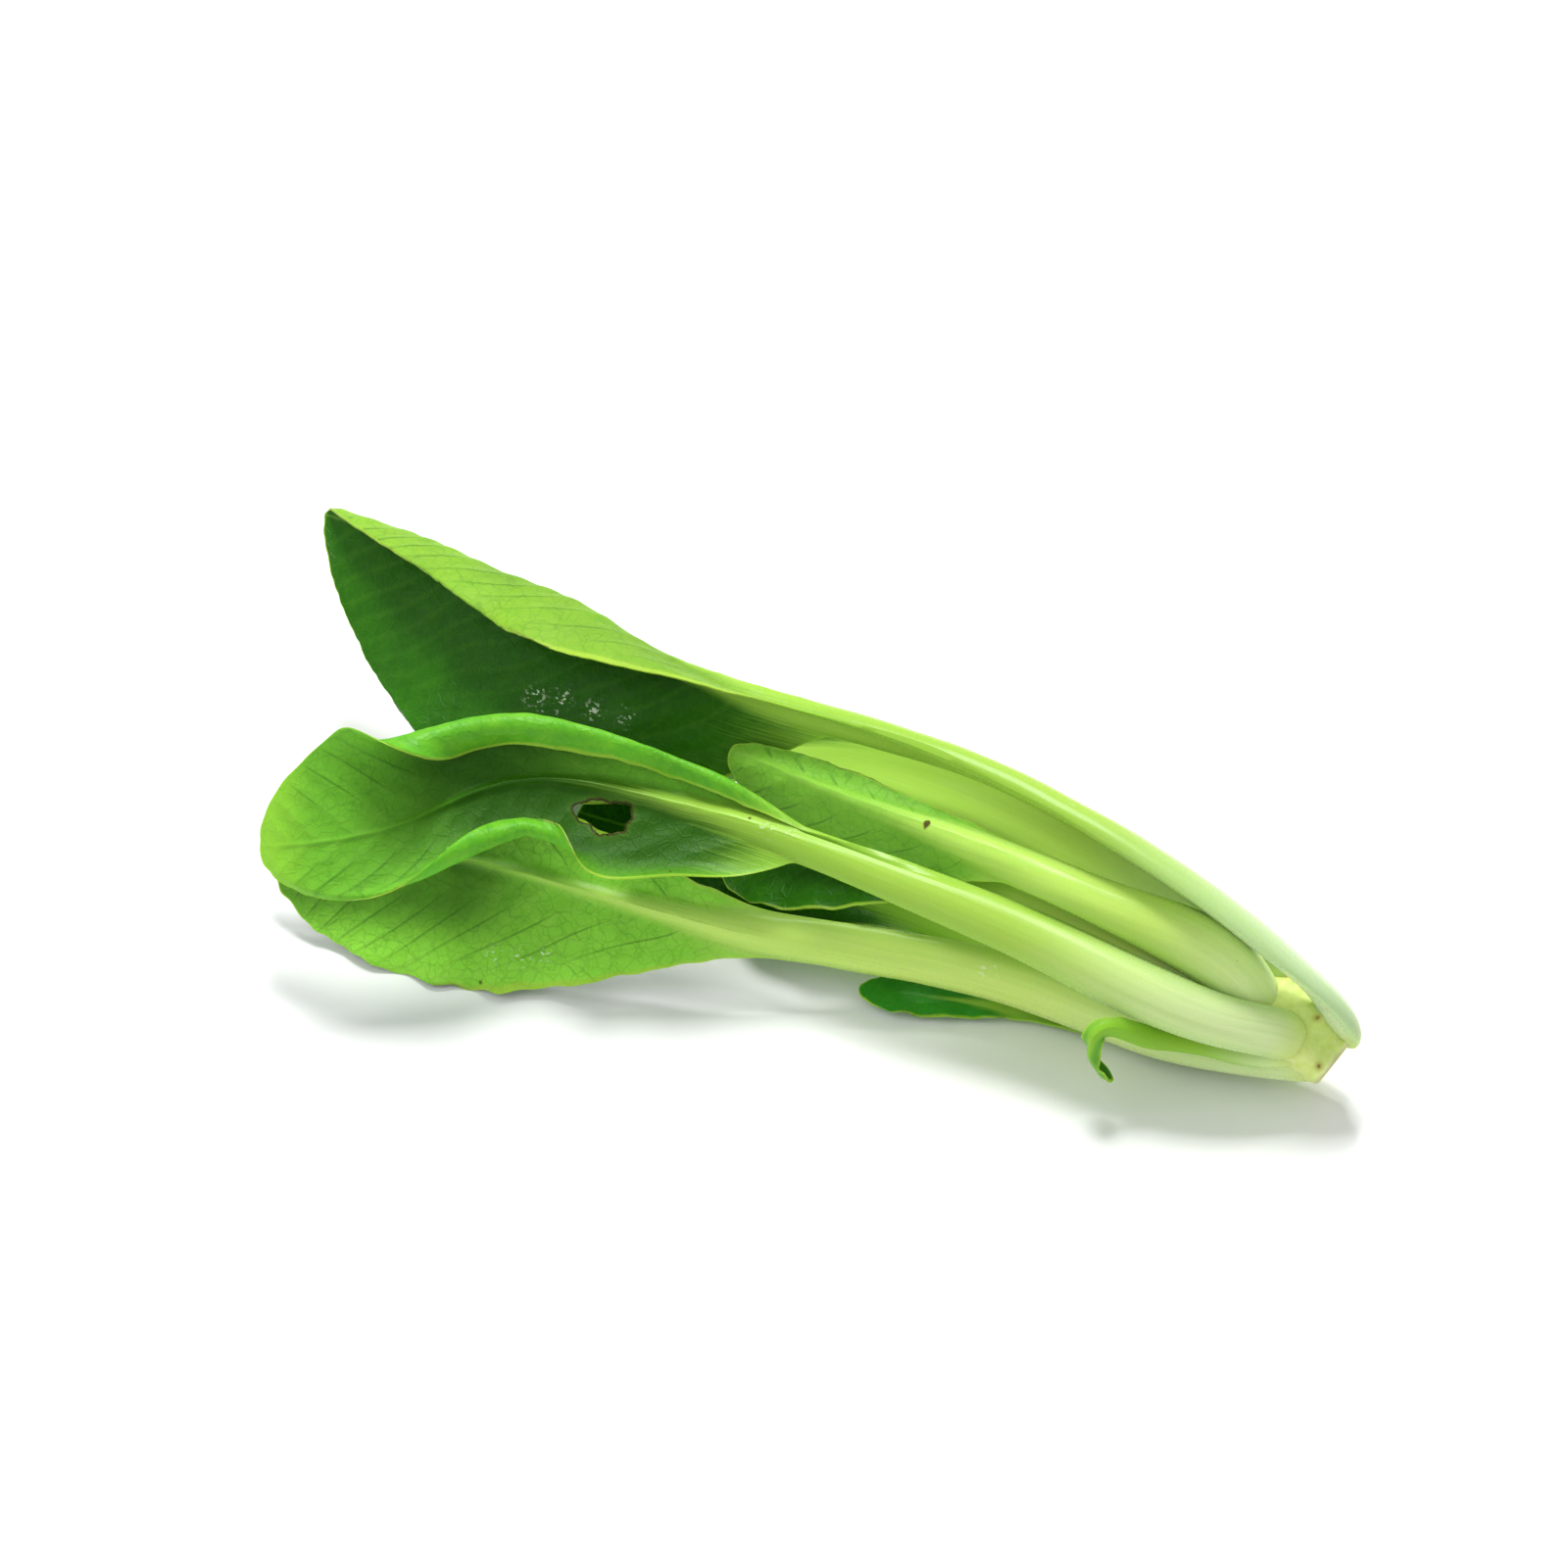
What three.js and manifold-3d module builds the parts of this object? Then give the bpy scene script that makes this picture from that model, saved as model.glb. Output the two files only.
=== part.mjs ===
// A young head of bok choy, cut off at the stem and lying on its side.
// Millimetres, +Z up. X runs along the head: the cut stem is at +X, the leaf tips at -X.
// The origin is under the middle of the head, on the surface that it lies on.
//
// Every leaf is one solid: a thick half-round stalk that thins out into a midrib, with a thin
// blade on both sides of it. A leaf is set out flat, then bent across and along its spine.
import * as THREE from 'three';
import { mergeVertices } from 'three/addons/utils/BufferGeometryUtils.js';
import Module from 'manifold-3d';

const wasm = await Module();
wasm.setup();

// ---- driving dimensions ----------------------------------------------------------------
const GAP = 0.35; // air kept between neighbouring pieces
const SHEET = 1.0; // thickness of a blade away from its midrib
const EDGE_SHEET = 0.6; // thickness of a blade at its margin
const STEPS_ALONG = 36; // stations along a large leaf
const STEPS_ACROSS = 12; // strips across a leaf
const SPINE_SAMPLES = 400; // points that measure a spine's length
const INNER_SHARE = 0.2; // share of a stalk's depth on its inner, flatter side
const RIB_FADE_START = 0.8; // where the midrib starts to thin, as a share of the stalk
const RIB_FADE = 1.7; // how fast it narrows from there
const FOOT = 5; // length of the rounded foot of a stalk
const ROLL = [[0.6, 1], [0.6, 1]]; // band across each side that curls, as shares of its width
const CENTRE = [-3.9, -19.7, 1]; // middle of the head's base, in the frame the leaves are set out in

const STEM_ROOT = [117, -3, 11]; // centre of the cut end
const STEM_TOP = [93, -1, 21]; // where the stem ends inside the heart
const STEM_RADIUS = 8;
const STEM_SIDES = 24;

// ---- the leaves ------------------------------------------------------------------------
// spine: middle line from base to tip. facing: which way the upper face looks, base to tip.
// stalk: length of the bare stalk. tip: how far the rounded end reaches back along each margin.
// stalkWidth, bladeWidth: half widths. stalkDepth: depth of the half-round stalk, base to blade.
// shoulder: how fast each side widens, under 1 is sooner. Pairs are [left side, right side].
// fold, cup, curl: degrees that each side turns towards the upper face, base to tip: fold close to
// the midrib, cup evenly across the side, and curl within the band that roll gives.
// taper: share of its width that each side loses towards the tip. foot: length of the rounded foot.
// ribFade: how fast the midrib narrows. point: how pointed each side's end is, 1 being round.
// waves: [height, length, phase] of the ripples along the margins.
const FLAT = [[0, 0], [0, 0]];
const leaves = [
  {
    name: 'front_leaf',
    colour: 0x86bf3f,
    spine: [
      [111, -6, 17], [106, -9, 20], [95, -15, 23], [76, -17, 27], [55, -16, 30], [31, -18, 33],
      [3, -18, 35], [-17, -22, 37], [-33, -26, 39], [-46, -31, 40], [-56, -41, 40], [-64, -54, 37],
      [-78, -62, 33], [-92, -64, 28],
    ],
    facing: [
      [-0.3, 0.7, -0.7], [-0.3, 0.6, -0.7], [-0.3, 0.5, -0.8], [-0.2, 0.5, -0.9], [-0.1, 0.6, -0.8],
      [-0.1, 0.8, -0.7],
    ],
    stalk: 108, tip: [56, 42], taper: [0.35, 0],
    stalkWidth: [5, 5.8, 5.6, 5.1, 4.8, 4.2], bladeWidth: [24, 24],
    stalkDepth: [4, 6.5, 5.5, 4.5, 4.2, 4], shoulder: [0.5, 0.6],
    fold: FLAT,
    cup: [[10, 5, 0, 0, 0, -10, -30, -40, -30], [10, 5, 0, -20, -60, -100, -80, 0]],
    curl: [
      [0, 0, 0, 0, 0, 0, 0, 0, 0, -60, -60, 20, -240, -190, -150, -60, 0],
      [0, 0, 0, 0, 0, 0, -30, -70, -120, -160, -165, -145, -130, -200, -110, 0, 0],
    ],
    roll: [[0.64, 0.92], [0.57, 0.82]],
    waves: [[0.8, 19, 0.2]],
  },
  {
    name: 'lower_leaf',
    colour: 0x7cb83a,
    spine: [
      [115, -5, 12], [104, -7, 10], [90, -9, 9], [74, -10, 10], [55, -11, 12], [35, -16, 13],
      [16, -22, 14], [0, -29, 16], [-16, -33, 18], [-32, -37, 20], [-49, -39, 21], [-70, -44, 20],
      [-88, -49, 17], [-99, -53, 14],
    ],
    facing: [
      [-0.5, 0.9, 0], [-0.5, 0.9, 0], [-0.4, 0.8, -0.3], [-0.4, 0.7, -0.6], [-0.3, 0.8, -0.6],
      [-0.2, 0.8, -0.6],
    ],
    stalk: 112, tip: [46, 40],
    stalkWidth: [5, 6.5, 7, 6.6, 5.6, 4.8], bladeWidth: [26, 17],
    stalkDepth: [4, 6, 5.5, 5, 4.5, 4.2], shoulder: [0.9, 0.9],
    fold: FLAT,
    cup: [[20, 10, 10, 0, -15, -15], [20, 10, 10, 0, -25, -15]],
    curl: FLAT,
    waves: [[1, 17, 0.6]],
  },
  {
    name: 'folded_leaf',
    colour: 0x3f8f2c,
    spine: [
      [116, 0, 14], [117, -1, 20], [112, -3, 28], [101, -4, 35], [84, -3, 42], [63, 0, 46], [36, 3, 49],
      [9, 2, 50], [-15, 1, 49], [-42, 4, 49], [-73, 12, 48], [-99, 16, 46], [-128, 17, 44],
    ],
    facing: [
      [-0.2, -0.7, -0.6], [0.1, -0.8, -0.6], [0.4, -0.7, -0.6], [0.5, -0.9, 0.1], [0.4, -0.7, 0.6],
      [0.3, -0.7, 0.7], [0.4, -0.6, 0.7],
    ],
    stalk: 128, tip: [64, 68], taper: [0.45, 0], point: [1.4, 1.5],
    stalkWidth: [5, 6, 5.7, 5, 4.4, 3.8], bladeWidth: [27, 40],
    stalkDepth: [4, 5.5, 5, 4.6, 4.4, 4], shoulder: [1.2, 0.7],
    fold: [[0, 0, 0, 10, 70, 105, 112, 105], [0, 0]],
    cup: [[10, 5, 5, 20, 40, 40], [10, 5, 5, 10, 10, 10]],
    curl: FLAT,
    waves: [[1, 21, 0.6]],
  },
  {
    name: 'middle_leaf',
    colour: 0x9ccb52,
    spine: [
      [104, -2, 16], [98, -3, 24], [89, -4, 30], [75, -7, 35], [63, -8, 37], [41, -8, 40], [20, -9, 41],
      [2, -8, 41], [-16, -5, 40],
    ],
    facing: [[-0.1, 0.2, -1], [-0.1, 0.2, -1], [-0.1, 0.2, -0.9], [-0.2, 0.4, -0.9]],
    stalk: 62, tip: [30, 30], foot: 16, ribFade: 1,
    stalkWidth: [5.6, 6.4, 6.2, 5.4, 4.8, 4.4], bladeWidth: [16, 6],
    stalkDepth: [6, 8, 7.8, 6.4, 5, 4.4], shoulder: [0.75, 0.9],
    fold: [[0, 0, 0, 10, 30, 50, 50, 40], [0, 0]],
    cup: [[30, 20, 10, 20, 60, 60], [30, 20, 10, 10, 10, 10]],
    curl: FLAT,
    waves: [[0.3, 13, 0.6]],
  },
  {
    name: 'back_leaf',
    colour: 0x4f9a35,
    spine: [
      [107, 3, 16], [101, 4, 21], [90, 5, 27], [69, 6, 32], [50, 5, 36], [30, 6, 38], [12, 8, 36],
      [-8, 10, 31], [-32, 9, 22], [-55, 8, 14], [-78, 7, 8], [-97, 5, 4],
    ],
    facing: [[0.4, -0.8, 0.2], [0.3, -0.7, 0.7], [0.1, -0.3, 1], [0, 0, 1], [0, 0.1, 1]],
    stalk: 99, tip: [38, 38], foot: 8,
    stalkWidth: [6, 6.8, 7.2, 7, 6.4, 5.6], bladeWidth: [22, 22],
    stalkDepth: [4, 6.5, 5.5, 5, 4.5, 4], shoulder: [0.9, 0.9],
    fold: FLAT,
    cup: [[30, 20, 10, 20, 20, 20], [30, 20, 10, 20, 20, 20]],
    curl: FLAT,
    waves: [[1, 18, 0.6]],
  },
  {
    name: 'inner_leaf',
    colour: 0x2f7a26,
    spine: [
      [107, 4, 9], [93, 3, 8], [72, 2, 8], [51, 0, 9], [34, -2, 10], [14, -2, 11], [-7, -4, 11],
      [-24, -6, 11], [-38, -8, 11], [-51, -9, 11],
    ],
    facing: [[0, 0, 1], [0.2, -0.4, 0.9], [0.3, -0.5, 0.8], [0.2, -0.4, 0.9]],
    stalk: 78, tip: [28, 28],
    stalkWidth: [4.5, 7, 7.5, 7, 6, 5], bladeWidth: [12, 17],
    stalkDepth: [4, 6, 5.5, 5, 4, 3], shoulder: [0.9, 0.9],
    fold: FLAT,
    cup: [[30, 20, 10, 20, 20, 20], [30, 20, 10, 20, 20, 20]],
    curl: FLAT,
    waves: [[0.8, 15, 0.6]],
  },
  {
    name: 'heart_leaf',
    colour: 0x8ec24a,
    spine: [
      [104, -2, 17], [93, -6, 25], [83, -8, 28], [70, -8, 31], [56, -8, 32], [38, -8, 31], [20, -9, 25],
      [0, -10, 19], [-16, -10, 15],
    ],
    facing: [[0.1, -0.2, 1], [0.2, -0.4, 0.9]],
    stalk: 66, tip: [18, 18],
    stalkWidth: [3.5, 5, 5.4, 5.4, 5, 4.6], bladeWidth: [11, 11],
    stalkDepth: [3, 4, 4, 3.6, 3, 2.4], shoulder: [0.9, 0.9],
    fold: FLAT,
    cup: [[10, 10], [20, 20]],
    curl: FLAT,
    waves: [[0.6, 11, 0.6]],
  },
  {
    name: 'curled_leaflet',
    colour: 0x93c93f,
    spine: [
      [112, -7, 14], [103, -11, 13], [95, -13, 15], [89, -16, 16], [85, -20, 18], [82, -23, 21],
      [78, -25, 23], [76, -28, 22], [76, -28, 19], [76, -28, 16], [78, -28, 13], [81, -29, 12],
    ],
    facing: [
      [-0.4, 0.8, -0.2], [-0.4, 0.7, -0.6], [-0.3, 0.7, -0.7], [-0.3, 0.6, -0.7], [-0.3, 0.6, -0.7],
      [-0.3, 0.6, -0.7], [-0.1, 0.7, -0.2], [0.4, 0.2, 0.6],
    ],
    stalk: 38, tip: [4, 4],
    stalkWidth: [2, 2.4, 2.5, 2.4, 2.3, 2.2], bladeWidth: [2.4, 2.4],
    stalkDepth: [2, 2, 1.6, 1.2, 1, 0.8], shoulder: [0.9, 0.9],
    fold: FLAT,
    cup: [[10, 10, 30, 60], [10, 10, 20, 20]],
    curl: FLAT,
    waves: [[0.5, 6, 0.6]],
  },
  {
    name: 'small_leaf',
    colour: 0x5fa93a,
    spine: [
      [111, -2, 9], [95, -4, 5], [79, -7, 4], [65, -9, 3], [51, -12, 3], [38, -16, 3], [22, -22, 4],
    ],
    facing: [[0, -0.1, 1], [0.1, -0.2, 1]],
    stalk: 56, tip: [12, 12],
    stalkWidth: [2, 2.8, 2.8, 2.4, 2.2, 2], bladeWidth: [5, 5],
    stalkDepth: [2, 2.4, 2.4, 2, 1.6, 1.4], shoulder: [0.9, 0.9],
    fold: FLAT,
    cup: [[10, 10], [20, 20]],
    curl: FLAT,
    waves: [[0.6, 9, 0.6]],
  },
];

// ---- curves ----------------------------------------------------------------------------
const clamp = (value, low, high) => Math.min(Math.max(value, low), high);
const smooth = (q) => q * q * (3 - 2 * q);
const radians = THREE.MathUtils.degToRad;
const vector = (a) => new THREE.Vector3(...a);

// Smooth curve through a list of numbers or of points, t from 0 to 1: a uniform cubic
// B-spline whose first and last entries are held.
function along(list, t) {
  const first = list[0];
  const last = list[list.length - 1];
  const padded = [first, first, ...list, last, last];
  const spans = padded.length - 3;
  const place = clamp(t, 0, 1) * spans;
  const i = Math.min(Math.floor(place), spans - 1);
  const f = place - i;
  const weights = [
    (1 - f) ** 3 / 6,
    (3 * f ** 3 - 6 * f ** 2 + 4) / 6,
    (-3 * f ** 3 + 3 * f ** 2 + 3 * f + 1) / 6,
    f ** 3 / 6,
  ];
  const mix = (pick) => weights.reduce((sum, w, k) => sum + w * pick(padded[i + k]), 0);
  return Array.isArray(first) ? first.map((_, axis) => mix((p) => p[axis])) : mix((p) => p);
}

// A leaf's spine, measured: its length, and a function that gives the point, direction,
// sideways and upper-face directions at a length from the base.
function measureSpine(leaf) {
  const points = [];
  const lengths = [0];
  for (let k = 0; k <= SPINE_SAMPLES; k++) {
    points.push(vector(along(leaf.spine, k / SPINE_SAMPLES)));
    if (k > 0) lengths.push(lengths[k - 1] + points[k].distanceTo(points[k - 1]));
  }
  const length = lengths[SPINE_SAMPLES];
  const pointAt = (x) => {
    const goal = clamp(x, 0, length);
    let k = 1;
    while (k < SPINE_SAMPLES && lengths[k] < goal) k++;
    const share = (goal - lengths[k - 1]) / (lengths[k] - lengths[k - 1]);
    return points[k - 1].clone().lerp(points[k], share);
  };
  const frameAt = (x) => {
    const ahead = pointAt(x + 1);
    const direction = ahead.sub(pointAt(x - 1)).normalize();
    const normal = vector(along(leaf.facing, x / length));
    normal.addScaledVector(direction, -normal.dot(direction)).normalize();
    const sideways = new THREE.Vector3().crossVectors(normal, direction);
    return { place: pointAt(x), sideways, normal };
  };
  return { length, frameAt };
}

// ---- one leaf --------------------------------------------------------------------------
// How full the rounded foot of the stalk is at x: a quarter circle up to 1.
function footShare(leaf, x) {
  return 0.1 + 0.9 * Math.sqrt(1 - (1 - clamp(x / (leaf.foot ?? FOOT), 0, 1)) ** 2);
}

// Half width on one side (0 left, 1 right) at a length x along the margin.
function halfWidth(leaf, length, x, side) {
  if (x < leaf.stalk) return along(leaf.stalkWidth, x / leaf.stalk) * footShare(leaf, x);
  const neck = leaf.stalkWidth[leaf.stalkWidth.length - 1];
  const q = clamp((x - leaf.stalk) / (length - leaf.tip[side] - leaf.stalk), 0, 1);
  const taper = leaf.taper ? leaf.taper[side] : 0;
  return neck + (leaf.bladeWidth[side] - neck) * smooth(q ** leaf.shoulder[side]) * (1 - taper * q ** 3);
}

// Where a point of the flat leaf lands across the bent one: the way from the midrib to the
// margin is four arcs. All of them cup, the first also folds, and the third also curls.
function bendAcross(leaf, distance, width, q, side) {
  const foldTo = 0.15;
  const [curlFrom, curlTo] = (leaf.roll ?? ROLL)[side];
  const fold = radians(along(leaf.fold[side], q));
  const cup = radians(along(leaf.cup[side], q));
  const curl = radians(along(leaf.curl[side], q));
  const arcs = [
    [0, foldTo, fold + cup * foldTo],
    [foldTo, curlFrom, cup * (curlFrom - foldTo)],
    [curlFrom, curlTo, cup * (curlTo - curlFrom) + curl],
    [curlTo, 1.6, cup * (1.6 - curlTo)],
  ];
  let [out, up, angle] = [0, 0, 0];
  for (const [from, to, turn] of arcs) {
    const travel = clamp(distance - from * width, 0, (to - from) * width);
    const bend = Math.abs(turn) < 1e-6 ? 1e-6 : turn / ((to - from) * width);
    out += (Math.sin(angle + bend * travel) - Math.sin(angle)) / bend;
    up += (Math.cos(angle) - Math.cos(angle + bend * travel)) / bend;
    angle += turn;
  }
  return [out, up];
}

// The leaf's middle surface as rows of points, base to tip, with each one's flat place.
function middleSurface(leaf, stepsAlong) {
  const { length, frameAt } = measureSpine(leaf);
  const rows = [];
  for (let i = 0; i <= stepsAlong; i++) {
    const centre = (length * i) / stepsAlong;
    const blade = clamp((centre - leaf.stalk) / (length - leaf.stalk), 0, 1) ** 1.6;
    const row = [];
    for (let j = 0; j <= STEPS_ACROSS; j++) {
      const turn = Math.PI * (j / STEPS_ACROSS - 0.5);
      const side = turn > 0 ? 1 : 0;
      const back = leaf.tip[side] * blade;
      const point = 1 + (leaf.point ? leaf.point[side] - 1 : 0) * blade;
      const x = centre - back * (1 - Math.cos(turn));
      const sine = Math.sign(turn) * Math.abs(Math.sin(turn)) ** point;
      const y = halfWidth(leaf, length, centre - back, side) * sine;
      const width = halfWidth(leaf, length, Math.min(x, length - leaf.tip[side]), side);
      const { place, sideways, normal } = frameAt(x);
      const [out, up] = bendAcross(leaf, Math.abs(y), width, x / length, side);
      const past = clamp((x - leaf.stalk) / (0.3 * (length - leaf.stalk)), 0, 1);
      const edge = clamp(Math.abs(y) / width, 0, 1) ** 2.2 * smooth(past);
      const ripple = leaf.waves.reduce((sum, [height, period, phase]) => (
        sum + height * Math.sin((2 * Math.PI * x) / period + phase)), 0);
      place.addScaledVector(sideways, Math.sign(y) * out);
      place.addScaledVector(normal, up + ripple * edge);
      row.push({ place, x, y, width });
    }
    rows.push(row);
  }
  return { rows, length };
}

// Thickness above and below the middle surface: the blade, and on it the half-round stalk,
// which narrows and sinks into the blade as a midrib.
function thickness(leaf, length, { x, y, width }) {
  const fadeStart = leaf.stalk * RIB_FADE_START;
  const fade = clamp((x - fadeStart) / (length - fadeStart), 0, 1);
  const neck = along(leaf.stalkWidth, RIB_FADE_START);
  const ribWidth = x < fadeStart ? width : neck * (1 - fade) ** (leaf.ribFade ?? RIB_FADE) + 0.8;
  const depth = along(leaf.stalkDepth, x / leaf.stalk) * (1 - fade) ** 1.1 * footShare(leaf, x);
  const across = clamp(Math.abs(y) / ribWidth, 0, 1);
  const rib = depth * (1 - across ** 2) ** 0.75;
  const margin = clamp(Math.abs(y) / width, 0, 1) ** 2;
  const sheet = SHEET + (EDGE_SHEET - SHEET) * margin;
  return [sheet / 2 + rib * INNER_SHARE, sheet / 2 + rib * (1 - INNER_SHARE)];
}

// The closed shell of one leaf, as a manifold solid. With grow, every face lies that much
// further out, which is how a neighbour's clearance is cut.
function leafSolid(leaf, grow = 0) {
  const stepsAlong = Math.round(STEPS_ALONG * (leaf.bladeWidth[0] > 12 ? 1 : 0.7));
  const { rows, length } = middleSurface(leaf, stepsAlong);
  const columns = STEPS_ACROSS + 1;
  const at = (i, j) => rows[clamp(i, 0, stepsAlong)][clamp(j, 0, STEPS_ACROSS)].place;
  const upper = [];
  const lower = [];
  rows.forEach((row, i) => {
    row.forEach((entry, j) => {
      const downLeaf = at(i + 1, j).clone().sub(at(i - 1, j));
      const acrossLeaf = at(i, j + 1).clone().sub(at(i, j - 1));
      const normal = downLeaf.clone().cross(acrossLeaf).normalize();
      const [above, below] = thickness(leaf, length, entry);
      const centre = entry.place.clone();
      if (i === 0) centre.addScaledVector(downLeaf.normalize(), -grow);
      if (i === stepsAlong) centre.addScaledVector(downLeaf.normalize(), grow);
      if (j === 0) centre.addScaledVector(acrossLeaf.normalize(), -grow);
      if (j === STEPS_ACROSS) centre.addScaledVector(acrossLeaf.normalize(), grow);
      upper.push(centre.clone().addScaledVector(normal, above + grow));
      lower.push(centre.clone().addScaledVector(normal, -below - grow));
    });
  });
  const triangles = [];
  const quad = (a, b, c, d) => triangles.push(a, b, c, a, c, d);
  const under = upper.length;
  for (let i = 0; i < stepsAlong; i++) {
    for (let j = 0; j < STEPS_ACROSS; j++) {
      const a = i * columns + j;
      const b = a + columns;
      quad(a, b, b + 1, a + 1);
      quad(under + a, under + a + 1, under + b + 1, under + b);
    }
  }
  const rim = [];
  for (let j = 0; j < STEPS_ACROSS; j++) rim.push(j);
  for (let i = 0; i < stepsAlong; i++) rim.push(i * columns + STEPS_ACROSS);
  for (let j = STEPS_ACROSS; j > 0; j--) rim.push(stepsAlong * columns + j);
  for (let i = stepsAlong; i > 0; i--) rim.push(i * columns);
  rim.forEach((a, k) => {
    const b = rim[(k + 1) % rim.length];
    quad(a, b, under + b, under + a);
  });
  return solidOf([...upper, ...lower], triangles);
}

// ---- the stem --------------------------------------------------------------------------
// A short stem, cut square at the root end, swollen where the outer leaves join it, and
// tapering into the heart. The profile is [share of the radius, height above the cut end].
function stemSolid(grow = 0) {
  const axis = vector(STEM_TOP).sub(vector(STEM_ROOT));
  const outline = [[0.6, 0], [0.68, 0.8], [0.75, 3], [0.84, 6], [0.97, 11], [0.9, 16], [0.6, 21]];
  const wall = outline.map(([share, height]) => new THREE.Vector2(share * STEM_RADIUS + grow, height));
  const profile = [new THREE.Vector2(0, -grow), ...wall, new THREE.Vector2(0, axis.length() + grow)];
  wall[0].y -= grow;
  const lathe = new THREE.LatheGeometry(profile, STEM_SIDES);
  const turn = new THREE.Quaternion().setFromUnitVectors(new THREE.Vector3(0, 1, 0), axis.normalize());
  lathe.applyQuaternion(turn);
  lathe.translate(...STEM_ROOT);
  return solidOfGeometry(lathe);
}

// ---- solids and meshes -----------------------------------------------------------------
function solidOf(points, triangles) {
  const vertProperties = Float32Array.from(points.flatMap((p) => p.toArray()));
  const triVerts = Uint32Array.from(triangles);
  return new wasm.Manifold(new wasm.Mesh({ numProp: 3, vertProperties, triVerts }));
}

// A lathe's seam and poles hold doubled points, so they are merged, and the triangles that
// close up to a line are left out.
function solidOfGeometry(geometry) {
  geometry.deleteAttribute('normal');
  geometry.deleteAttribute('uv');
  const merged = mergeVertices(geometry, 1e-4);
  const positions = merged.getAttribute('position');
  const index = merged.getIndex().array;
  const points = [];
  for (let k = 0; k < positions.count; k++) {
    points.push(new THREE.Vector3().fromBufferAttribute(positions, k));
  }
  const triangles = [];
  for (let k = 0; k < index.length; k += 3) {
    const [a, b, c] = index.slice(k, k + 3);
    if (a !== b && b !== c && c !== a) triangles.push(a, b, c);
  }
  return solidOf(points, triangles);
}

function largestPiece(solid) {
  return solid.decompose().sort((a, b) => b.volume() - a.volume())[0];
}

function meshOf(name, solid, colour, roughness) {
  const { vertProperties, triVerts } = solid.getMesh();
  const geometry = new THREE.BufferGeometry();
  geometry.setAttribute('position', new THREE.BufferAttribute(Float32Array.from(vertProperties), 3));
  geometry.setIndex(new THREE.BufferAttribute(Uint32Array.from(triVerts), 1));
  geometry.computeVertexNormals();
  const material = new THREE.MeshStandardMaterial({ color: colour, roughness, metalness: 0 });
  const mesh = new THREE.Mesh(geometry, material);
  mesh.name = name;
  return mesh;
}

// ---- the head --------------------------------------------------------------------------
// The stem is whole. Each leaf then gives way to the stem and to the leaves before it, so
// neighbours pressed together keep a thin, even gap.
const head = new THREE.Group();
head.position.set(...CENTRE).negate();
head.add(meshOf('stem_base', stemSolid(), 0xdfe6a8, 0.45));
const placed = [stemSolid(GAP)];
for (const leaf of leaves) {
  const solid = placed.reduce((rest, neighbour) => rest.subtract(neighbour), leafSolid(leaf));
  head.add(meshOf(leaf.name, largestPiece(solid), leaf.colour, 0.4));
  placed.push(leafSolid(leaf, GAP));
}

export default head;
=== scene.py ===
"""A young head of bok choy lying on its side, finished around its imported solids.

Every leaf is one surface worked out on a grid. It is set out flat first, as a strip of stalk that
widens into a blade, then bent: across by four arcs a side, and along by carrying each row on the
leaf's spine. Lengths are millimetres until a mesh is made, where they become metres. Those of the
floor, the lights, the bumps and the flesh are metres from the start.
"""
import math

import bpy
import numpy as np
from mathutils import Matrix, Vector


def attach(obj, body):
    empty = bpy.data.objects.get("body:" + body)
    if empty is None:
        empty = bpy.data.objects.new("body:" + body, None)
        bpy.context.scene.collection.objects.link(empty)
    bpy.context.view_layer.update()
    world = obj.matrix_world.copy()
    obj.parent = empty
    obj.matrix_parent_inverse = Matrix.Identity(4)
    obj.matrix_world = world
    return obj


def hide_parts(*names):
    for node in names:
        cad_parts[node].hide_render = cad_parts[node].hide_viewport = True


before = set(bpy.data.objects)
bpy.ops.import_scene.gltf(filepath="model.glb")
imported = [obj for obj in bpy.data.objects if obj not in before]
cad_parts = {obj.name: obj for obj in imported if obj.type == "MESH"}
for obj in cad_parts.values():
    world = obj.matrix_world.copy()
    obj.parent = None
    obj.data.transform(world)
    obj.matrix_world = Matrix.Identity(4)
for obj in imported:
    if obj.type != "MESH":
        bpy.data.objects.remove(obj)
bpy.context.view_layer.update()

# ---- sizes -----------------------------------------------------------------------------
MM = 0.001
CENTRE = np.array([-3.9, -19.7, 1.0])  # middle of the head's base, where the leaves are set out
CAMERA_AZIMUTH, CAMERA_ELEVATION = 28, 42  # degrees
CAMERA_TARGET, CAMERA_DISTANCE = (0, 0, 25), 800
CAMERA_SHIFT = -0.01875, 0.01875  # shares of the picture's width
LENS_LENGTH, SENSOR_WIDTH = 90, 36
FLOOR_REACH = 3.0  # metres from the middle of the floor to its sides
RNG = np.random.default_rng(7)
FAR = 99.0  # stands for a distance to something that a leaf has none of

SPINE_SAMPLES = 801  # places at which a spine is measured
ROW_STEP = 0.78  # mean distance between rows, along a leaf
COLUMN_STEP = 0.5  # and between columns, across it
EXTRA_COLUMNS = 28  # added to those, for the stalk's round back
ROW_CROWD = 0.5  # how much closer together rows lie at the foot and the tip
COLUMN_CROWD = 0.4  # and columns at the midrib
FOOT = 5.0  # length of the rounded foot of a stalk
TIP_GROWTH = 1.6  # power with which the rounded end grows out of straight rows
TOOTH, TOOTH_REACH = 0.14, 2.5  # height of a margin's fine teeth, and how far in from it they reach
FOLD_BAND, LAST_BAND = 0.15, 1.6  # shares of the width: up to where a side folds, and past its margin
SHEET, EDGE_SHEET = 0.5, 0.3  # thickness of a blade, and at its margin
UPPER_SHARE = 0.2  # share of a stalk's depth on its inner, flatter side
RIB_START = 0.8  # share of the stalk's length at which its midrib and its side veins begin
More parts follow.
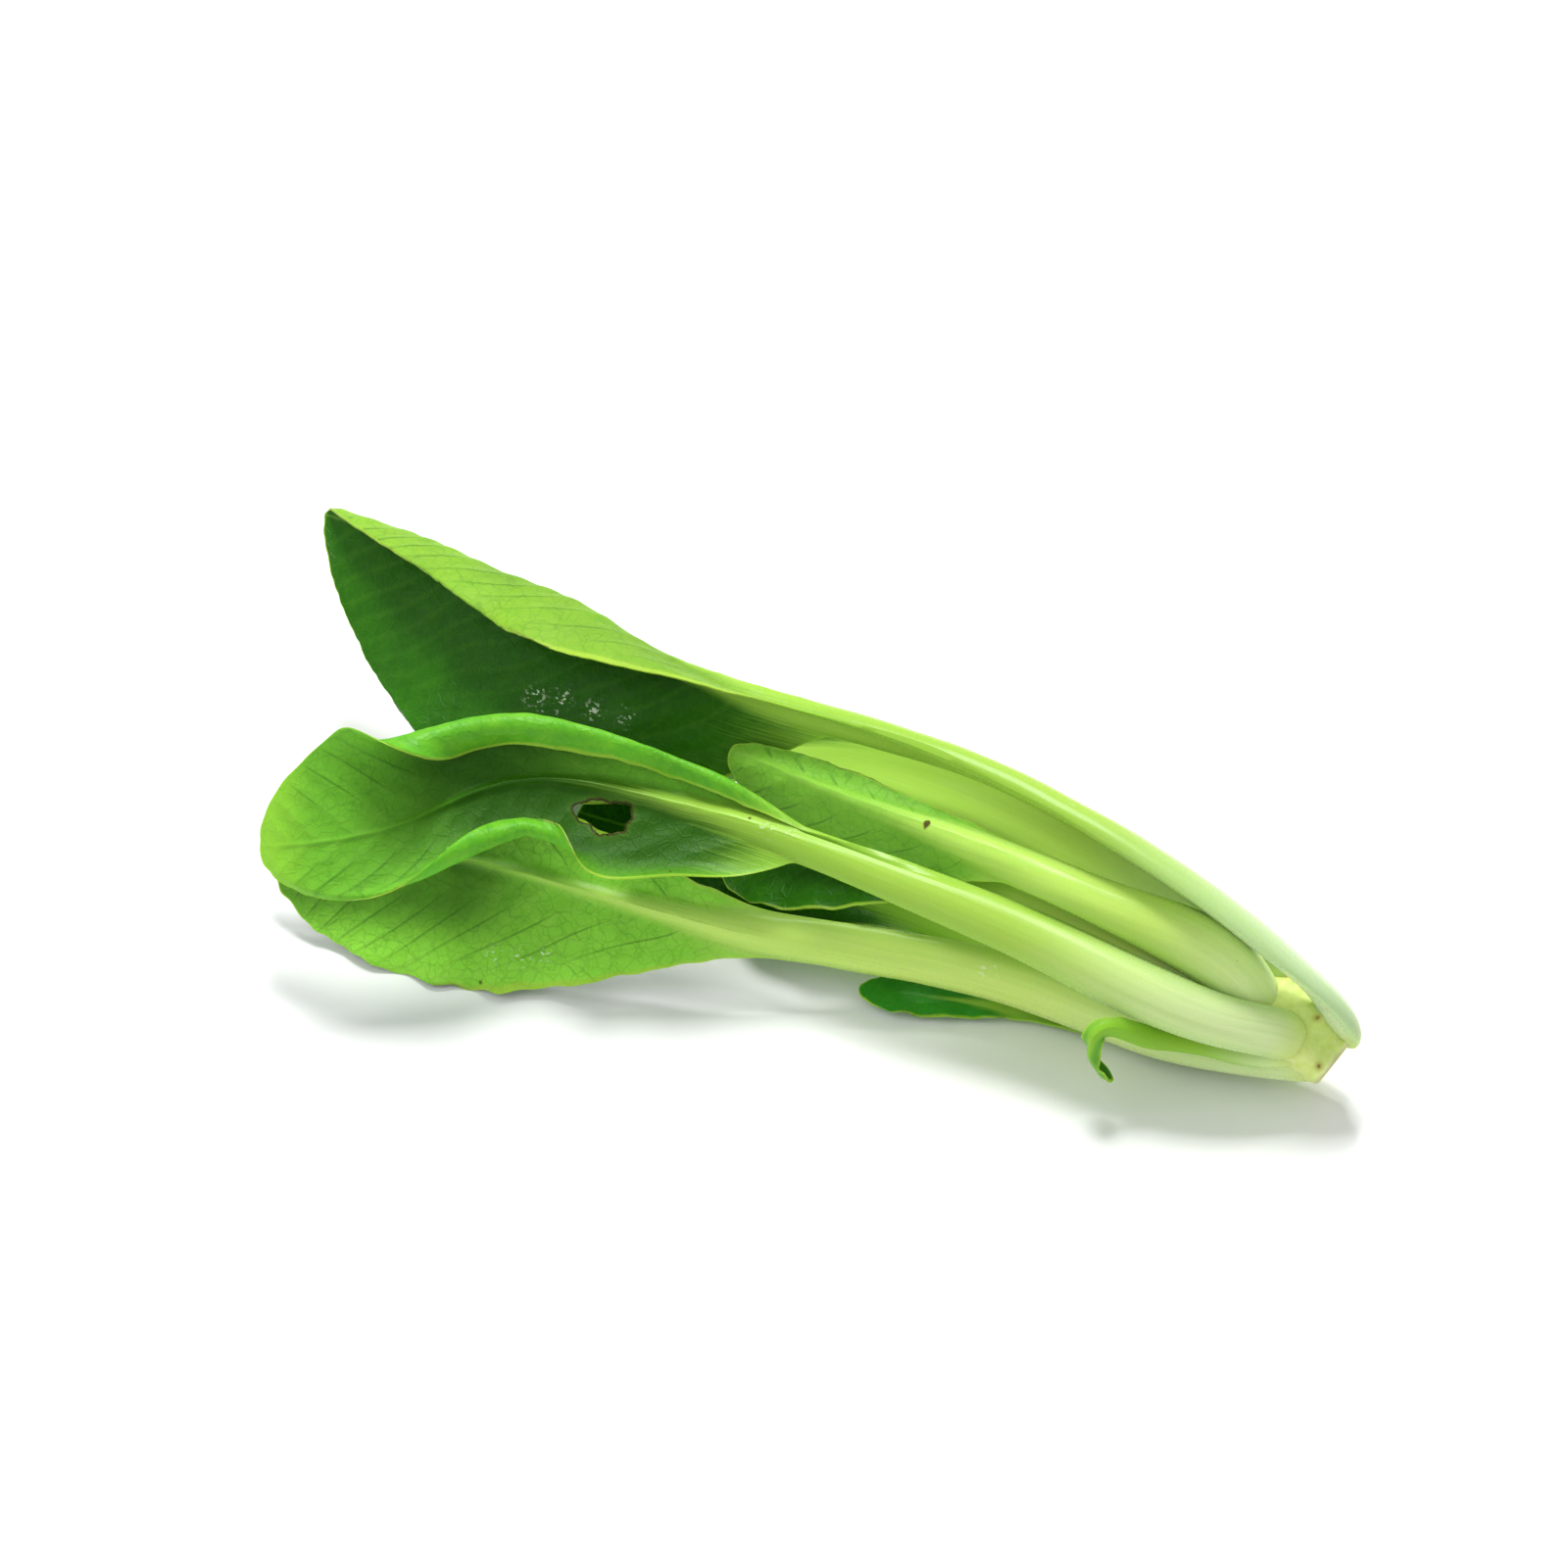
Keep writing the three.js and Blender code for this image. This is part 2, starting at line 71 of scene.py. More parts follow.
RIB_FADE, RIB_LEAST = 1.7, 0.5  # power with which the midrib narrows, and half width left at the tip
CHANNEL = 0.5  # depth of the channel along a stalk's inner side
FIBRE, LUMP = 0.006, 0.08  # heights of a stalk's long fibres and of its slow lumps
FIBRES = 1.3  # half waves of fibre for each millimetre of the stalk's half width
VEIN_GAP = 11  # mean distance between the feet of side veins
VEIN_LEAD = 0.45  # how much faster a side vein runs ahead near the margin
VEIN_CROWD, VEIN_SWAY = 0.25, 0.22  # how much closer feet lie near the tip, and how uneven they are
VEIN_WIDTH = 0.8  # half width of a side vein, before it narrows towards the margin
VEIN_HEIGHT = 0.15  # how far it stands out underneath
QUILT = 0.3  # how far the blade rises between side veins
CUSHION = 0.1  # and between the walls of the fine net
CELL, CELL_TABLE = 4.5, 64  # size of that net's cells, and how many lie in a row before it repeats
SWELL = 0.55  # height of the slow unevenness of a blade
RIPPLE_START = 0.3  # share of the blade's length over which its margin's ripples set in
RIPPLE_RISE = 2.2  # power with which they rise towards the margin
SHARP_ANGLE = 55  # degrees between two faces, over which the edge they share isn't smoothed

STEM_ROOT = np.array([117.0, -3, 11])  # centre of the cut end
STEM_TOP = np.array([93.0, -1, 21])  # where the stem ends inside the heart
STEM_RADIUS = 8.0
STEM_RINGS, STEM_PLACES = 150, 96  # rings along the stem, and places round each
# share of the radius, height above the cut end
STEM_PROFILE = [(0.04, 0.7), (0.2, 0.5), (0.4, 0.25), (0.56, 0), (0.64, 0.25), (0.69, 1), (0.74, 3),
                (0.84, 6), (1, 11), (0.95, 16), (0.6, 22), (0.04, 25)]
STEM_SCARS = [(17.1, 5.4), (7.6, 4.75), (0.9, 5.05), (1.6, 3.65)]  # height above the cut end, angle
SCAR_HEIGHT, SCAR_BAND, SCAR_SPREAD = 0.9, 0.9, 0.5  # a scar's ridge: height, width, angle round

# ---- the leaves ------------------------------------------------------------------------
# Pairs are (left side, right side). Rows of numbers run from base to tip.
# seed: of the leaf's own chance. row_step: its mean distance between rows, if not the usual one.
# spine: middle line. facing: which way the upper face looks.
# stalk: length of the bare stalk. foot: length of its rounded end, if not the usual one.
# stalk_width, blade_width: half widths. stalk_depth: depth of the half-round stalk.
# tip: how far the rounded end reaches back along each margin. point: how pointed it is, 1 is round.
# shoulder: how fast each side widens, under 1 is sooner. taper: share of its width lost at the tip.
# rib_fade: how soon the midrib narrows, if not as usual.
# fold, cup, curl: degrees that each side turns towards the upper face: fold close to the midrib, cup
# evenly across the side, and curl within the band that roll gives as shares of the width.
# waves: (height, length, phase) of the ripples along the margins. teeth: height of the fine teeth.
# hole: middle and half widths of an eaten hole. spots: brown marks, as (x, y, radius) on the flat leaf.
# wet: wet patches, glossier and dotted with painted glints, in the same way. A radius under 0 makes a
# fainter one.
# tint: what differs from the finish of an ordinary leaf.
FLAT = ([0, 0], [0, 0])
EVEN_ROLL = ((0.6, 1), (0.6, 1))  # each side's band, from and to
LEAVES = {
    "front_leaf": dict(
        seed=11,
        spine=[(111, -6, 17), (106, -9, 20), (95, -15, 23), (76, -17, 27), (55, -16, 30), (31, -18, 33),
               (3, -18, 35), (-17, -22, 37), (-33, -26, 39), (-46, -31, 40), (-56, -41, 40),
               (-64, -54, 37), (-78, -62, 33), (-92, -64, 28)],
        facing=[(-.3, .7, -.7), (-.3, .6, -.7), (-.3, .5, -.8), (-.2, .5, -.9), (-.1, .6, -.8),
                (-.1, .8, -.7)],
        stalk=108, tip=(56, 42), stalk_width=[5, 5.8, 5.6, 5.1, 4.8, 4.2],
        blade_width=(24, 24), taper=(.35, 0),
        stalk_depth=[4, 6.5, 5.5, 4.5, 4.2, 4], shoulder=(.5, .6), fold=FLAT,
        cup=([10, 5, 0, 0, 0, -10, -30, -40, -30], [10, 5, 0, -20, -60, -100, -80, 0]),
        curl=([0, 0, 0, 0, 0, 0, 0, 0, 0, -60, -60, 20, -240, -190, -150, -60, 0],
              [0, 0, 0, 0, 0, 0, -30, -70, -120, -160, -165, -145, -130, -200, -110, 0, 0]),
        roll=((.64, .92), (.57, .82)), waves=[(.8, 19, .2)], hole=dict(place=(148, -6), size=(6, 3.4)),
        spots=[(119, 1, .3), (131, -15, .3)], wet=[(115, 0, 1), (110, 1, .8)],
        # inland gives strong painted shade in the hollow; upper and foot are paler than usual, partly
        # painted light on the rolled band and the lit foot
        tint=dict(foot=(220, 237, 176), inland=0.9, ribbed=0.15, upper=(88, 164, 38), under=(108, 178, 44),
                  tip=(150, 210, 58))),
    "lower_leaf": dict(
        seed=12,
        spine=[(115, -5, 12), (104, -7, 10), (90, -9, 9), (74, -10, 10), (55, -11, 12), (35, -16, 13),
               (16, -22, 14), (0, -29, 16), (-16, -33, 18), (-32, -37, 20), (-49, -39, 21), (-70, -44, 20),
               (-88, -49, 17), (-99, -53, 14)],
        facing=[(-.5, .9, 0), (-.5, .9, 0), (-.4, .8, -.3), (-.4, .7, -.6), (-.3, .8, -.6), (-.2, .8, -.6)],
        stalk=112, tip=(46, 40), stalk_width=[5, 6.5, 7, 6.6, 5.6, 4.8], blade_width=(26, 17),
        stalk_depth=[4, 6, 5.5, 5, 4.5, 4.2], shoulder=(.9, .9), fold=FLAT,
        cup=([20, 10, 10, 0, -15, -15], [20, 10, 10, 0, -25, -15]), curl=FLAT,
        waves=[(1, 17, .6)], teeth=.3, spots=[(170, -24, .4)],
        wet=[(168, -18, 1.3), (162, -17, 1.6), (157, -15, 1.2), (69, 3, .8), (67, 4, .7)],
        # under and stalk are paler than usual, partly painted light where the leaf lies in shade; shaded
        # paints the front leaf's shadow over its outer underside
        tint=dict(under=(152, 224, 70), stalk=(208, 232, 124), shaded=0.75)),
    "folded_leaf": dict(
        seed=13, row_step=1.05,
        spine=[(116, 0, 14), (117, -1, 20), (112, -3, 28), (101, -4, 35), (84, -3, 42), (63, 0, 46),
               (36, 3, 49), (9, 2, 50), (-15, 1, 49), (-42, 4, 49), (-73, 12, 48), (-99, 16, 46),
               (-128, 17, 44)],
        facing=[(-.2, -.7, -.6), (.1, -.8, -.6), (.4, -.7, -.6), (.5, -.9, .1), (.4, -.7, .6),
                (.3, -.7, .7), (.4, -.6, .7)],
        stalk=128, tip=(64, 68), point=(1.4, 1.5), stalk_width=[5, 6, 5.7, 5, 4.4, 3.8],
        blade_width=(27, 40), taper=(.45, 0), stalk_depth=[4, 5.5, 5, 4.6, 4.4, 4], shoulder=(1.2, .7),
        fold=([0, 0, 0, 10, 70, 105, 112, 105], [0, 0]),
        cup=([10, 5, 5, 20, 40, 40], [10, 5, 5, 10, 10, 10]), curl=FLAT,
        waves=[(1, 21, .6)], spots=[(212, -6, .2), (24, 1, .2)],
        wet=[(191, 19, 2), (185, 17, 2.2), (177, 16, 1.6), (170, 14, 1.4), (186, 21, 1.6),
             (81, -4, -.6), (75, -3, -.2), (70, -3, -.8)],
        tint=dict(under=(131, 180, 48), foot=(224, 242, 204))),
    "middle_leaf": dict(
        seed=14,
        spine=[(104, -2, 16), (98, -3, 24), (89, -4, 30), (75, -7, 35), (63, -8, 37), (41, -8, 40),
               (20, -9, 41), (2, -8, 41), (-16, -5, 40)],
        facing=[(-.1, .2, -1), (-.1, .2, -1), (-.1, .2, -.9), (-.2, .4, -.9)],
        stalk=62, foot=16, rib_fade=1, tip=(30, 30), stalk_width=[5.6, 6.4, 6.2, 5.4, 4.8, 4.4],
        blade_width=(16, 6), stalk_depth=[6, 8, 7.8, 6.4, 5, 4.4], shoulder=(.75, .9),
        fold=([0, 0, 0, 10, 30, 50, 50, 40], [0, 0]),
        cup=([30, 20, 10, 20, 60, 60], [30, 20, 10, 10, 10, 10]), curl=FLAT,
        waves=[(.3, 13, .6)], spots=[(81, 0, .6), (62, 0, .25), (16, -1, .05)],
        # stalk, foot and underside are paler than usual: painted light where the folded leaf shades them;
        # inland keeps the hollow almost free of painted shade
        tint=dict(under=(126, 188, 56), stalk=(196, 226, 110), foot=(232, 250, 178), inland=0.05)),
    "back_leaf": dict(
        seed=15,
        spine=[(107, 3, 16), (101, 4, 21), (90, 5, 27), (69, 6, 32), (50, 5, 36), (30, 6, 38), (12, 8, 36),
               (-8, 10, 31), (-32, 9, 22), (-55, 8, 14), (-78, 7, 8), (-97, 5, 4)],
        facing=[(.4, -.8, .2), (.3, -.7, .7), (.1, -.3, 1), (0, 0, 1), (0, .1, 1)],
        stalk=99, foot=8, tip=(38, 38), stalk_width=[6, 6.8, 7.2, 7, 6.4, 5.6], blade_width=(22, 22),
        stalk_depth=[4, 6.5, 5.5, 5, 4.5, 4], shoulder=(.9, .9), fold=FLAT,
        cup=([30, 20, 10, 20, 20, 20], [30, 20, 10, 20, 20, 20]), curl=FLAT,
        waves=[(1, 18, .6)]),
    "inner_leaf": dict(
        seed=16,
        spine=[(107, 4, 9), (93, 3, 8), (72, 2, 8), (51, 0, 9), (34, -2, 10), (14, -2, 11), (-7, -4, 11),
               (-24, -6, 11), (-38, -8, 11), (-51, -9, 11)],
        facing=[(0, 0, 1), (.2, -.4, .9), (.3, -.5, .8), (.2, -.4, .9)],
        stalk=78, tip=(28, 28), stalk_width=[4.5, 7, 7.5, 7, 6, 5], blade_width=(12, 17),
        stalk_depth=[4, 6, 5.5, 5, 4, 3], shoulder=(.9, .9), fold=FLAT,
        cup=([30, 20, 10, 20, 20, 20], [30, 20, 10, 20, 20, 20]), curl=FLAT,
        waves=[(.8, 15, .6)]),
    "heart_leaf": dict(
        seed=17,
        spine=[(104, -2, 17), (93, -6, 25), (83, -8, 28), (70, -8, 31), (56, -8, 32), (38, -8, 31),
               (20, -9, 25), (0, -10, 19), (-16, -10, 15)],
        facing=[(.1, -.2, 1), (.2, -.4, .9)],
        stalk=66, tip=(18, 18), stalk_width=[3.5, 5, 5.4, 5.4, 5, 4.6], blade_width=(11, 11),
        stalk_depth=[3, 4, 4, 3.6, 3, 2.4], shoulder=(.9, .9), fold=FLAT,
        cup=([10, 10], [20, 20]), curl=FLAT,
        # its stalk is paler than usual: painted light where the middle leaf's stalk shades it
        waves=[(.6, 11, .6)], tint=dict(stalk=(212, 236, 118))),
    "curled_leaflet": dict(
        seed=18,
        spine=[(112, -7, 14), (103, -11, 13), (95, -13, 15), (89, -16, 16), (85, -20, 18), (82, -23, 21),
               (78, -25, 23), (76, -28, 22), (76, -28, 19), (76, -28, 16), (78, -28, 13), (81, -29, 12)],
        facing=[(-.4, .8, -.2), (-.4, .7, -.6), (-.3, .7, -.7), (-.3, .6, -.7), (-.3, .6, -.7),
                (-.3, .6, -.7), (-.1, .7, -.2), (.4, .2, .6)],
        stalk=38, tip=(4, 4), stalk_width=[2, 2.4, 2.5, 2.4, 2.3, 2.2], blade_width=(2.4, 2.4),
        stalk_depth=[2, 2, 1.6, 1.2, 1, .8], shoulder=(.9, .9), fold=FLAT,
        cup=([10, 10, 30, 60], [10, 10, 20, 20]), curl=FLAT,
        waves=[(.5, 6, .6)], teeth=.3, tint=dict(stalk=(150, 196, 60))),
    "small_leaf": dict(
        seed=19,
        spine=[(111, -2, 9), (95, -4, 5), (79, -7, 4), (65, -9, 3), (51, -12, 3), (38, -16, 3),
               (22, -22, 4)],
        facing=[(0, -.1, 1), (.1, -.2, 1)],
        stalk=56, tip=(12, 12), stalk_width=[2, 2.8, 2.8, 2.4, 2.2, 2], blade_width=(5, 5),
        stalk_depth=[2, 2.4, 2.4, 2, 1.6, 1.4], shoulder=(.9, .9), fold=FLAT,
        cup=([10, 10], [20, 20]), curl=FLAT,
        waves=[(.6, 9, .6)], teeth=.3, tint=dict(upper=(44, 128, 30), ribbed=0.1)),
}

# ---- curves ----------------------------------------------------------------------------
def spline(entries, t):
    """Smooth curve through numbers or points, t from 0 to 1: a uniform cubic B-spline whose first and
    last entries are held. Between two entries it is the cubic mix of the four around them."""
    p = np.asarray(entries, float)
    p = np.concatenate([p[:1], p[:1], p, p[-1:], p[-1:]])
    place = np.clip(t, 0, 1) * (len(p) - 3)
    i = np.minimum(place.astype(int), len(p) - 4)
    f = place - i
    if p.ndim == 2:
        f = f[..., None]
    parts = (1 - f) ** 3, 3 * f ** 3 - 6 * f ** 2 + 4, -3 * f ** 3 + 3 * f ** 2 + 3 * f + 1, f ** 3
    return sum(part * p[i + k] for k, part in enumerate(parts)) / 6


def smooth(q):
    """0 below 0, 1 above 1, and 3q^2 - 2q^3 between"""
    q = np.clip(q, 0, 1)
    return q * q * (3 - 2 * q)


def bell(distance, width):
    """exp(-(distance / width)^2)"""
    return np.exp(-(distance / width) ** 2)


def unit(v):
    return v / np.maximum(np.linalg.norm(v, axis=-1, keepdims=True), 1e-9)


def swell(x, y, longest, shortest, rng, count=7):
    """A soft uneven surface about 1 high: a sum of sines of x and y, each with its own direction,
    wavelength between longest and shortest, and phase."""
    total = np.zeros_like(x)
    for _ in range(count):
        turn, phase = rng.uniform(0, 2 * math.pi, 2)
        wavelength = rng.uniform(shortest, longest)
        total += np.sin(2 * math.pi * (x * math.cos(turn) + y * math.sin(turn)) / wavelength + phase)
    return total / math.sqrt(count)


def wall_distance(x, y, size, rng):
    """Distance to the nearest wall of a net of cells about size across. Each square of a grid holds one
    cell centre at random. A wall lies where the two nearest centres are equally far, so the distance
    to it is half the difference of those two."""
    table = rng.random((CELL_TABLE, CELL_TABLE, 2))
    column, row = np.floor(x / size).astype(int), np.floor(y / size).astype(int)
    nearest = np.full_like(x, 1e9)
    second = np.full_like(x, 1e9)
    for across in range(-2, 3):
        for along in range(-2, 3):
            i, j = column + across, row + along
            shift = table[i % CELL_TABLE, j % CELL_TABLE]
            distance = np.hypot((i + shift[..., 0]) * size - x, (j + shift[..., 1]) * size - y)
            second = np.minimum(second, np.maximum(nearest, distance))
            nearest = np.minimum(nearest, distance)
    return (second - nearest) / 2


def read(x, samples, values):
    """Points or directions, given at the lengths samples, read at the lengths x between them"""
    return np.stack([np.interp(x, samples, values[:, k]) for k in range(3)], -1)


def measure_spine(leaf):
    """Even lengths along the spine, and at each the point, and the sideways and the upper direction.
    Upper is squared up to the spine's own direction, and sideways is upper x that direction."""
    t = np.linspace(0, 1, SPINE_SAMPLES)
    points = spline(leaf["spine"], t)
    walked = np.concatenate([[0], np.cumsum(np.linalg.norm(np.diff(points, axis=0), axis=1))])
    x = np.linspace(0, walked[-1], SPINE_SAMPLES)
    point = read(x, walked, points)
    direction = unit(np.gradient(point, x, axis=0))
    upper = spline(leaf["facing"], x / walked[-1])
    upper = unit(upper - (upper * direction).sum(-1, keepdims=True) * direction)
    return x, point, np.cross(upper, direction), upper


def sets_in(leaf, x, start, over):
    """0 at x below the share start of the stalk's length, and 1 from start + over on"""
    return smooth((x / leaf["stalk"] - start) / over)


# ---- a leaf set out flat ---------------------------------------------------------------
def by_side(pair, right, at=None):
    """The left or the right entry of a pair, where right says. With at, the entries are splines."""
    left_value, right_value = pair
    if at is not None:
        left_value, right_value = spline(left_value, at), spline(right_value, at)
    return np.where(right, right_value, left_value)


def foot_share(leaf, x):
    """How full the rounded foot of the stalk is at x: a tenth, then a quarter ellipse up to 1"""
    return 0.1 + 0.9 * np.sqrt(1 - (1 - np.clip(x / leaf.get("foot", FOOT), 0, 1)) ** 2)


def half_width(leaf, length, x, right):
    """Half the leaf's width at length x along a margin. The stalk is a spline of its stated widths,
    rounded off at its foot. The blade widens from the neck as smooth(q^shoulder), q from 0 to 1 up to
    the rounded tip, and there loses its taper, as q^3."""
    neck = leaf["stalk_width"][-1]
    tip, widest, shoulder, taper = (by_side(pair, right) for pair in (
        leaf["tip"], leaf["blade_width"], leaf["shoulder"], leaf.get("taper", (0, 0))))
    q = np.clip((x - leaf["stalk"]) / (length - tip - leaf["stalk"]), 0, 1)
    blade = neck + (widest - neck) * smooth(q ** shoulder)
    blade = neck + (blade - neck) * (1 - taper * q ** 3)
    stalk = spline(leaf["stalk_width"], x / leaf["stalk"]) * foot_share(leaf, x)
    return np.where(x < leaf["stalk"], stalk, blade)


def set_out(leaf, length, rows, columns, rng):
    """The flat leaf as a grid: x along, y across, and the distance to the margin.

    Across, a row is a half ellipse laid back from its middle: x = centre - back (1 - cos a) and
    y = width sin a, a from -90 to 90 degrees, where back grows from nothing at the neck to the whole
    rounded end. A pointed end takes a power of sin a. Rows lie closer together at the foot and the
    tip, and columns at the midrib. Fine teeth move the last millimetres before the margin in and
    out."""
    u = np.linspace(0, 1, rows)[:, None] * np.ones((1, columns))
    centre = length * (u - ROW_CROWD * np.sin(2 * math.pi * u) / (2 * math.pi))
    t = np.linspace(-1, 1, columns)[None, :] * np.ones((rows, 1))
    a = math.pi / 2 * ((1 - COLUMN_CROWD) * t + COLUMN_CROWD * t ** 3)
    right = a > 0
    blade = np.clip((centre - leaf["stalk"]) / (length - leaf["stalk"]), 0, 1)
    point = 1 + (by_side(leaf.get("point", (1, 1)), right) - 1) * blade ** TIP_GROWTH
    back = by_side(leaf["tip"], right) * blade ** TIP_GROWTH
    width = half_width(leaf, length, centre - back, right)
    x = centre - back * (1 - np.cos(a))
    y = width * np.sign(a) * np.abs(np.sin(a)) ** point
    margin = np.minimum(width - np.abs(y), length - centre)
    out_x, out_y = width * np.cos(a), np.maximum(back, 1) * np.sin(a)
    size = np.hypot(out_x, out_y)
    uneven = swell(x, y, longest=9, shortest=2.5, rng=rng)
    tooth = leaf.get("teeth", TOOTH) * uneven * bell(margin, TOOTH_REACH) * smooth(blade * 6)
    return x + tooth * out_x / size, y + tooth * out_y / size, margin


# ---- veins -----------------------------------------------------------------------------
def side_veins(leaf, length, x, y, width, right, rng):
    """The veins that leave the midrib, as a phase that passes a whole number on each vein, and the
    millimetres that one unit of phase takes up there.

    A vein leaves its foot on the midrib at about 45 degrees and bends towards the tip: it runs ahead
    of its foot by width (r + lead r^3), r from 0 at the midrib to 1 at the margin. The feet are
    closer together towards the tip. The two sides alternate, and a slow swell keeps them from being
    even."""
    r = np.clip(np.abs(y) / width, 0, 1)
    start = leaf["stalk"] * RIB_START
    foot = (x - width * (r + VEIN_LEAD * r ** 3) - start) / (length - start)
    count = (length - start) / VEIN_GAP
    sway = VEIN_SWAY * swell(x, y, longest=60, shortest=25, rng=rng)
    phase = count * (foot + VEIN_CROWD * foot * np.abs(foot)) + 0.5 * right + sway
    along = np.gradient(phase, axis=0) / np.maximum(np.gradient(x, axis=0), 1e-3)
    across = np.gradient(phase, axis=1) / np.maximum(np.abs(np.gradient(y, axis=1)), 1e-3)
    spacing = 1 / np.maximum(np.hypot(along, across), 0.02)
    return phase, np.minimum(spacing, 20)


def vein_distance(phase, spacing):
    """Millimetres to the middle of the nearest side vein"""
    return np.abs(phase - np.round(phase)) * spacing


# ---- bending ---------------------------------------------------------------------------
def arc(distance, start, turn):
    """How far out and up an arc reaches that starts at the angle start and turns by turn a millimetre"""
    turn = np.where(np.abs(turn) < 1e-6, 1e-6, turn)
    end = start + turn * distance
    return (np.sin(end) - np.sin(start)) / turn, (np.cos(start) - np.cos(end)) / turn


def bend(leaf, length, x, y, width):
    """The flat leaf in its place. From midrib to margin a side is four arcs. All of them cup, the first
    one, the fold band, also folds, and the third one, the band that roll gives, also curls. The bent
    row then stands on the spine at x, along sideways and upper. Ripples lift the outer part of the
    blade as sines along it."""
    samples, point, sideways, upper = measure_spine(leaf)
    right = y > 0
    q = x / length
    fold, cup, curl = (np.radians(by_side(leaf[name], right, q)) for name in ("fold", "cup", "curl"))
    curl_from, curl_to = (by_side(stops, right) for stops in zip(*leaf.get("roll", EVEN_ROLL)))
    stops = 0, FOLD_BAND, curl_from, curl_to, LAST_BAND
    extra = fold, 0, curl, 0
    out, up, angle = np.zeros_like(x), np.zeros_like(x), np.zeros_like(x)
    for low, high, more in zip(stops, stops[1:], extra):
        turn = cup * (high - low) + more
        travel = np.clip(np.abs(y) - low * width, 0, (high - low) * width)
        step_out, step_up = arc(travel, angle, turn / ((high - low) * width))
        out, up, angle = out + step_out, up + step_up, angle + turn
    grown = smooth((x - leaf["stalk"]) / (RIPPLE_START * (length - leaf["stalk"])))
    edge = np.clip(np.abs(y) / width, 0, 1) ** RIPPLE_RISE * grown
    for height, period, phase in leaf["waves"]:
        up = up + edge * height * np.sin(2 * math.pi * x / period + phase)
    return (read(x, samples, point) + read(x, samples, sideways) * (np.sign(y) * out)[..., None]
            + read(x, samples, upper) * up[..., None])


def face_normals(points):
    """Upper direction of the surface: its slope along the leaf x its slope across"""
    return unit(np.cross(np.gradient(points, axis=0), np.gradient(points, axis=1)))


def rib_profile(leaf, length, x, y, width):
    """The half-round stalk and the midrib it runs out in: its height over the blade in millimetres,
    how much of a place is rib, 1 on it and 0 on the blade, and the share s of the rib's half width
    that a place lies out. Across, the height is (1 - s^2)^0.6 on the stalk and softens to
    exp(-2.2 s^2) on the blade."""
    start = leaf["stalk"] * RIB_START
    fade = np.clip((x - start) / (length - start), 0, 1)
    neck = spline(leaf["stalk_width"], np.array(RIB_START))
    narrow = neck * (1 - fade) ** leaf.get("rib_fade", RIB_FADE) + RIB_LEAST
    rib_width = width + (narrow - width) * sets_in(leaf, x, 0.7, 0.2)
    depth = spline(leaf["stalk_depth"], x / leaf["stalk"]) * (1 - fade) ** 1.1 * foot_share(leaf, x)
    s = np.abs(y) / rib_width
    round_back = np.clip(1 - s ** 2, 0, 1) ** 0.6
    soft_back = np.exp(-2.2 * s ** 2)
    height = depth * (round_back + (soft_back - round_back) * sets_in(leaf, x, 0.65, 0.8))
    on_blade = sets_in(leaf, x, 0.85, 0.5)
    rib = np.clip(1.25 - s * 0.9, 0, 1) * on_blade + (1 - on_blade)
    return height, rib, np.clip(s, 0, 1)


# ---- leaf meshes -----------------------------------------------------------------------
def open_hole(hole, x, y):
    """Pulls the grid onto a ragged oval hole. Its radius is an ellipse's times 1 + a few sines of the
    angle. Returns the flat place, which cells are kept, and the distance from the hole's edge."""
    dx, dy = x - hole["place"][0], y - hole["place"][1]
    turn, distance = np.arctan2(dy, dx), np.hypot(dx, dy)
    long, short = hole["size"]
    ragged = 1 + 0.14 * np.sin(3 * turn + 0.6) + 0.09 * np.sin(5 * turn + 2) + 0.05 * np.sin(11 * turn)
    radius = ragged * long * short / np.hypot(short * np.cos(turn), long * np.sin(turn))
    inside = distance < radius
    gone = inside[:-1, :-1] | inside[1:, :-1] | inside[1:, 1:] | inside[:-1, 1:]
    beside = np.zeros_like(inside)
    for rows in (slice(None, -1), slice(1, None)):
        for columns in (slice(None, -1), slice(1, None)):
            beside[rows, columns] |= gone
    pull = np.where(beside & ~inside, radius / distance, 1)
    return hole["place"][0] + dx * pull, hole["place"][1] + dy * pull, ~gone, distance * pull - radius


def nearest_spot(spots, x, y):
    """Distance to the edge of the nearest spot, each one (x, y, radius)"""
    distance = np.full_like(x, FAR)
    for spot_x, spot_y, radius in spots:
        distance = np.minimum(distance, np.hypot(x - spot_x, y - spot_y) - radius)
    return distance


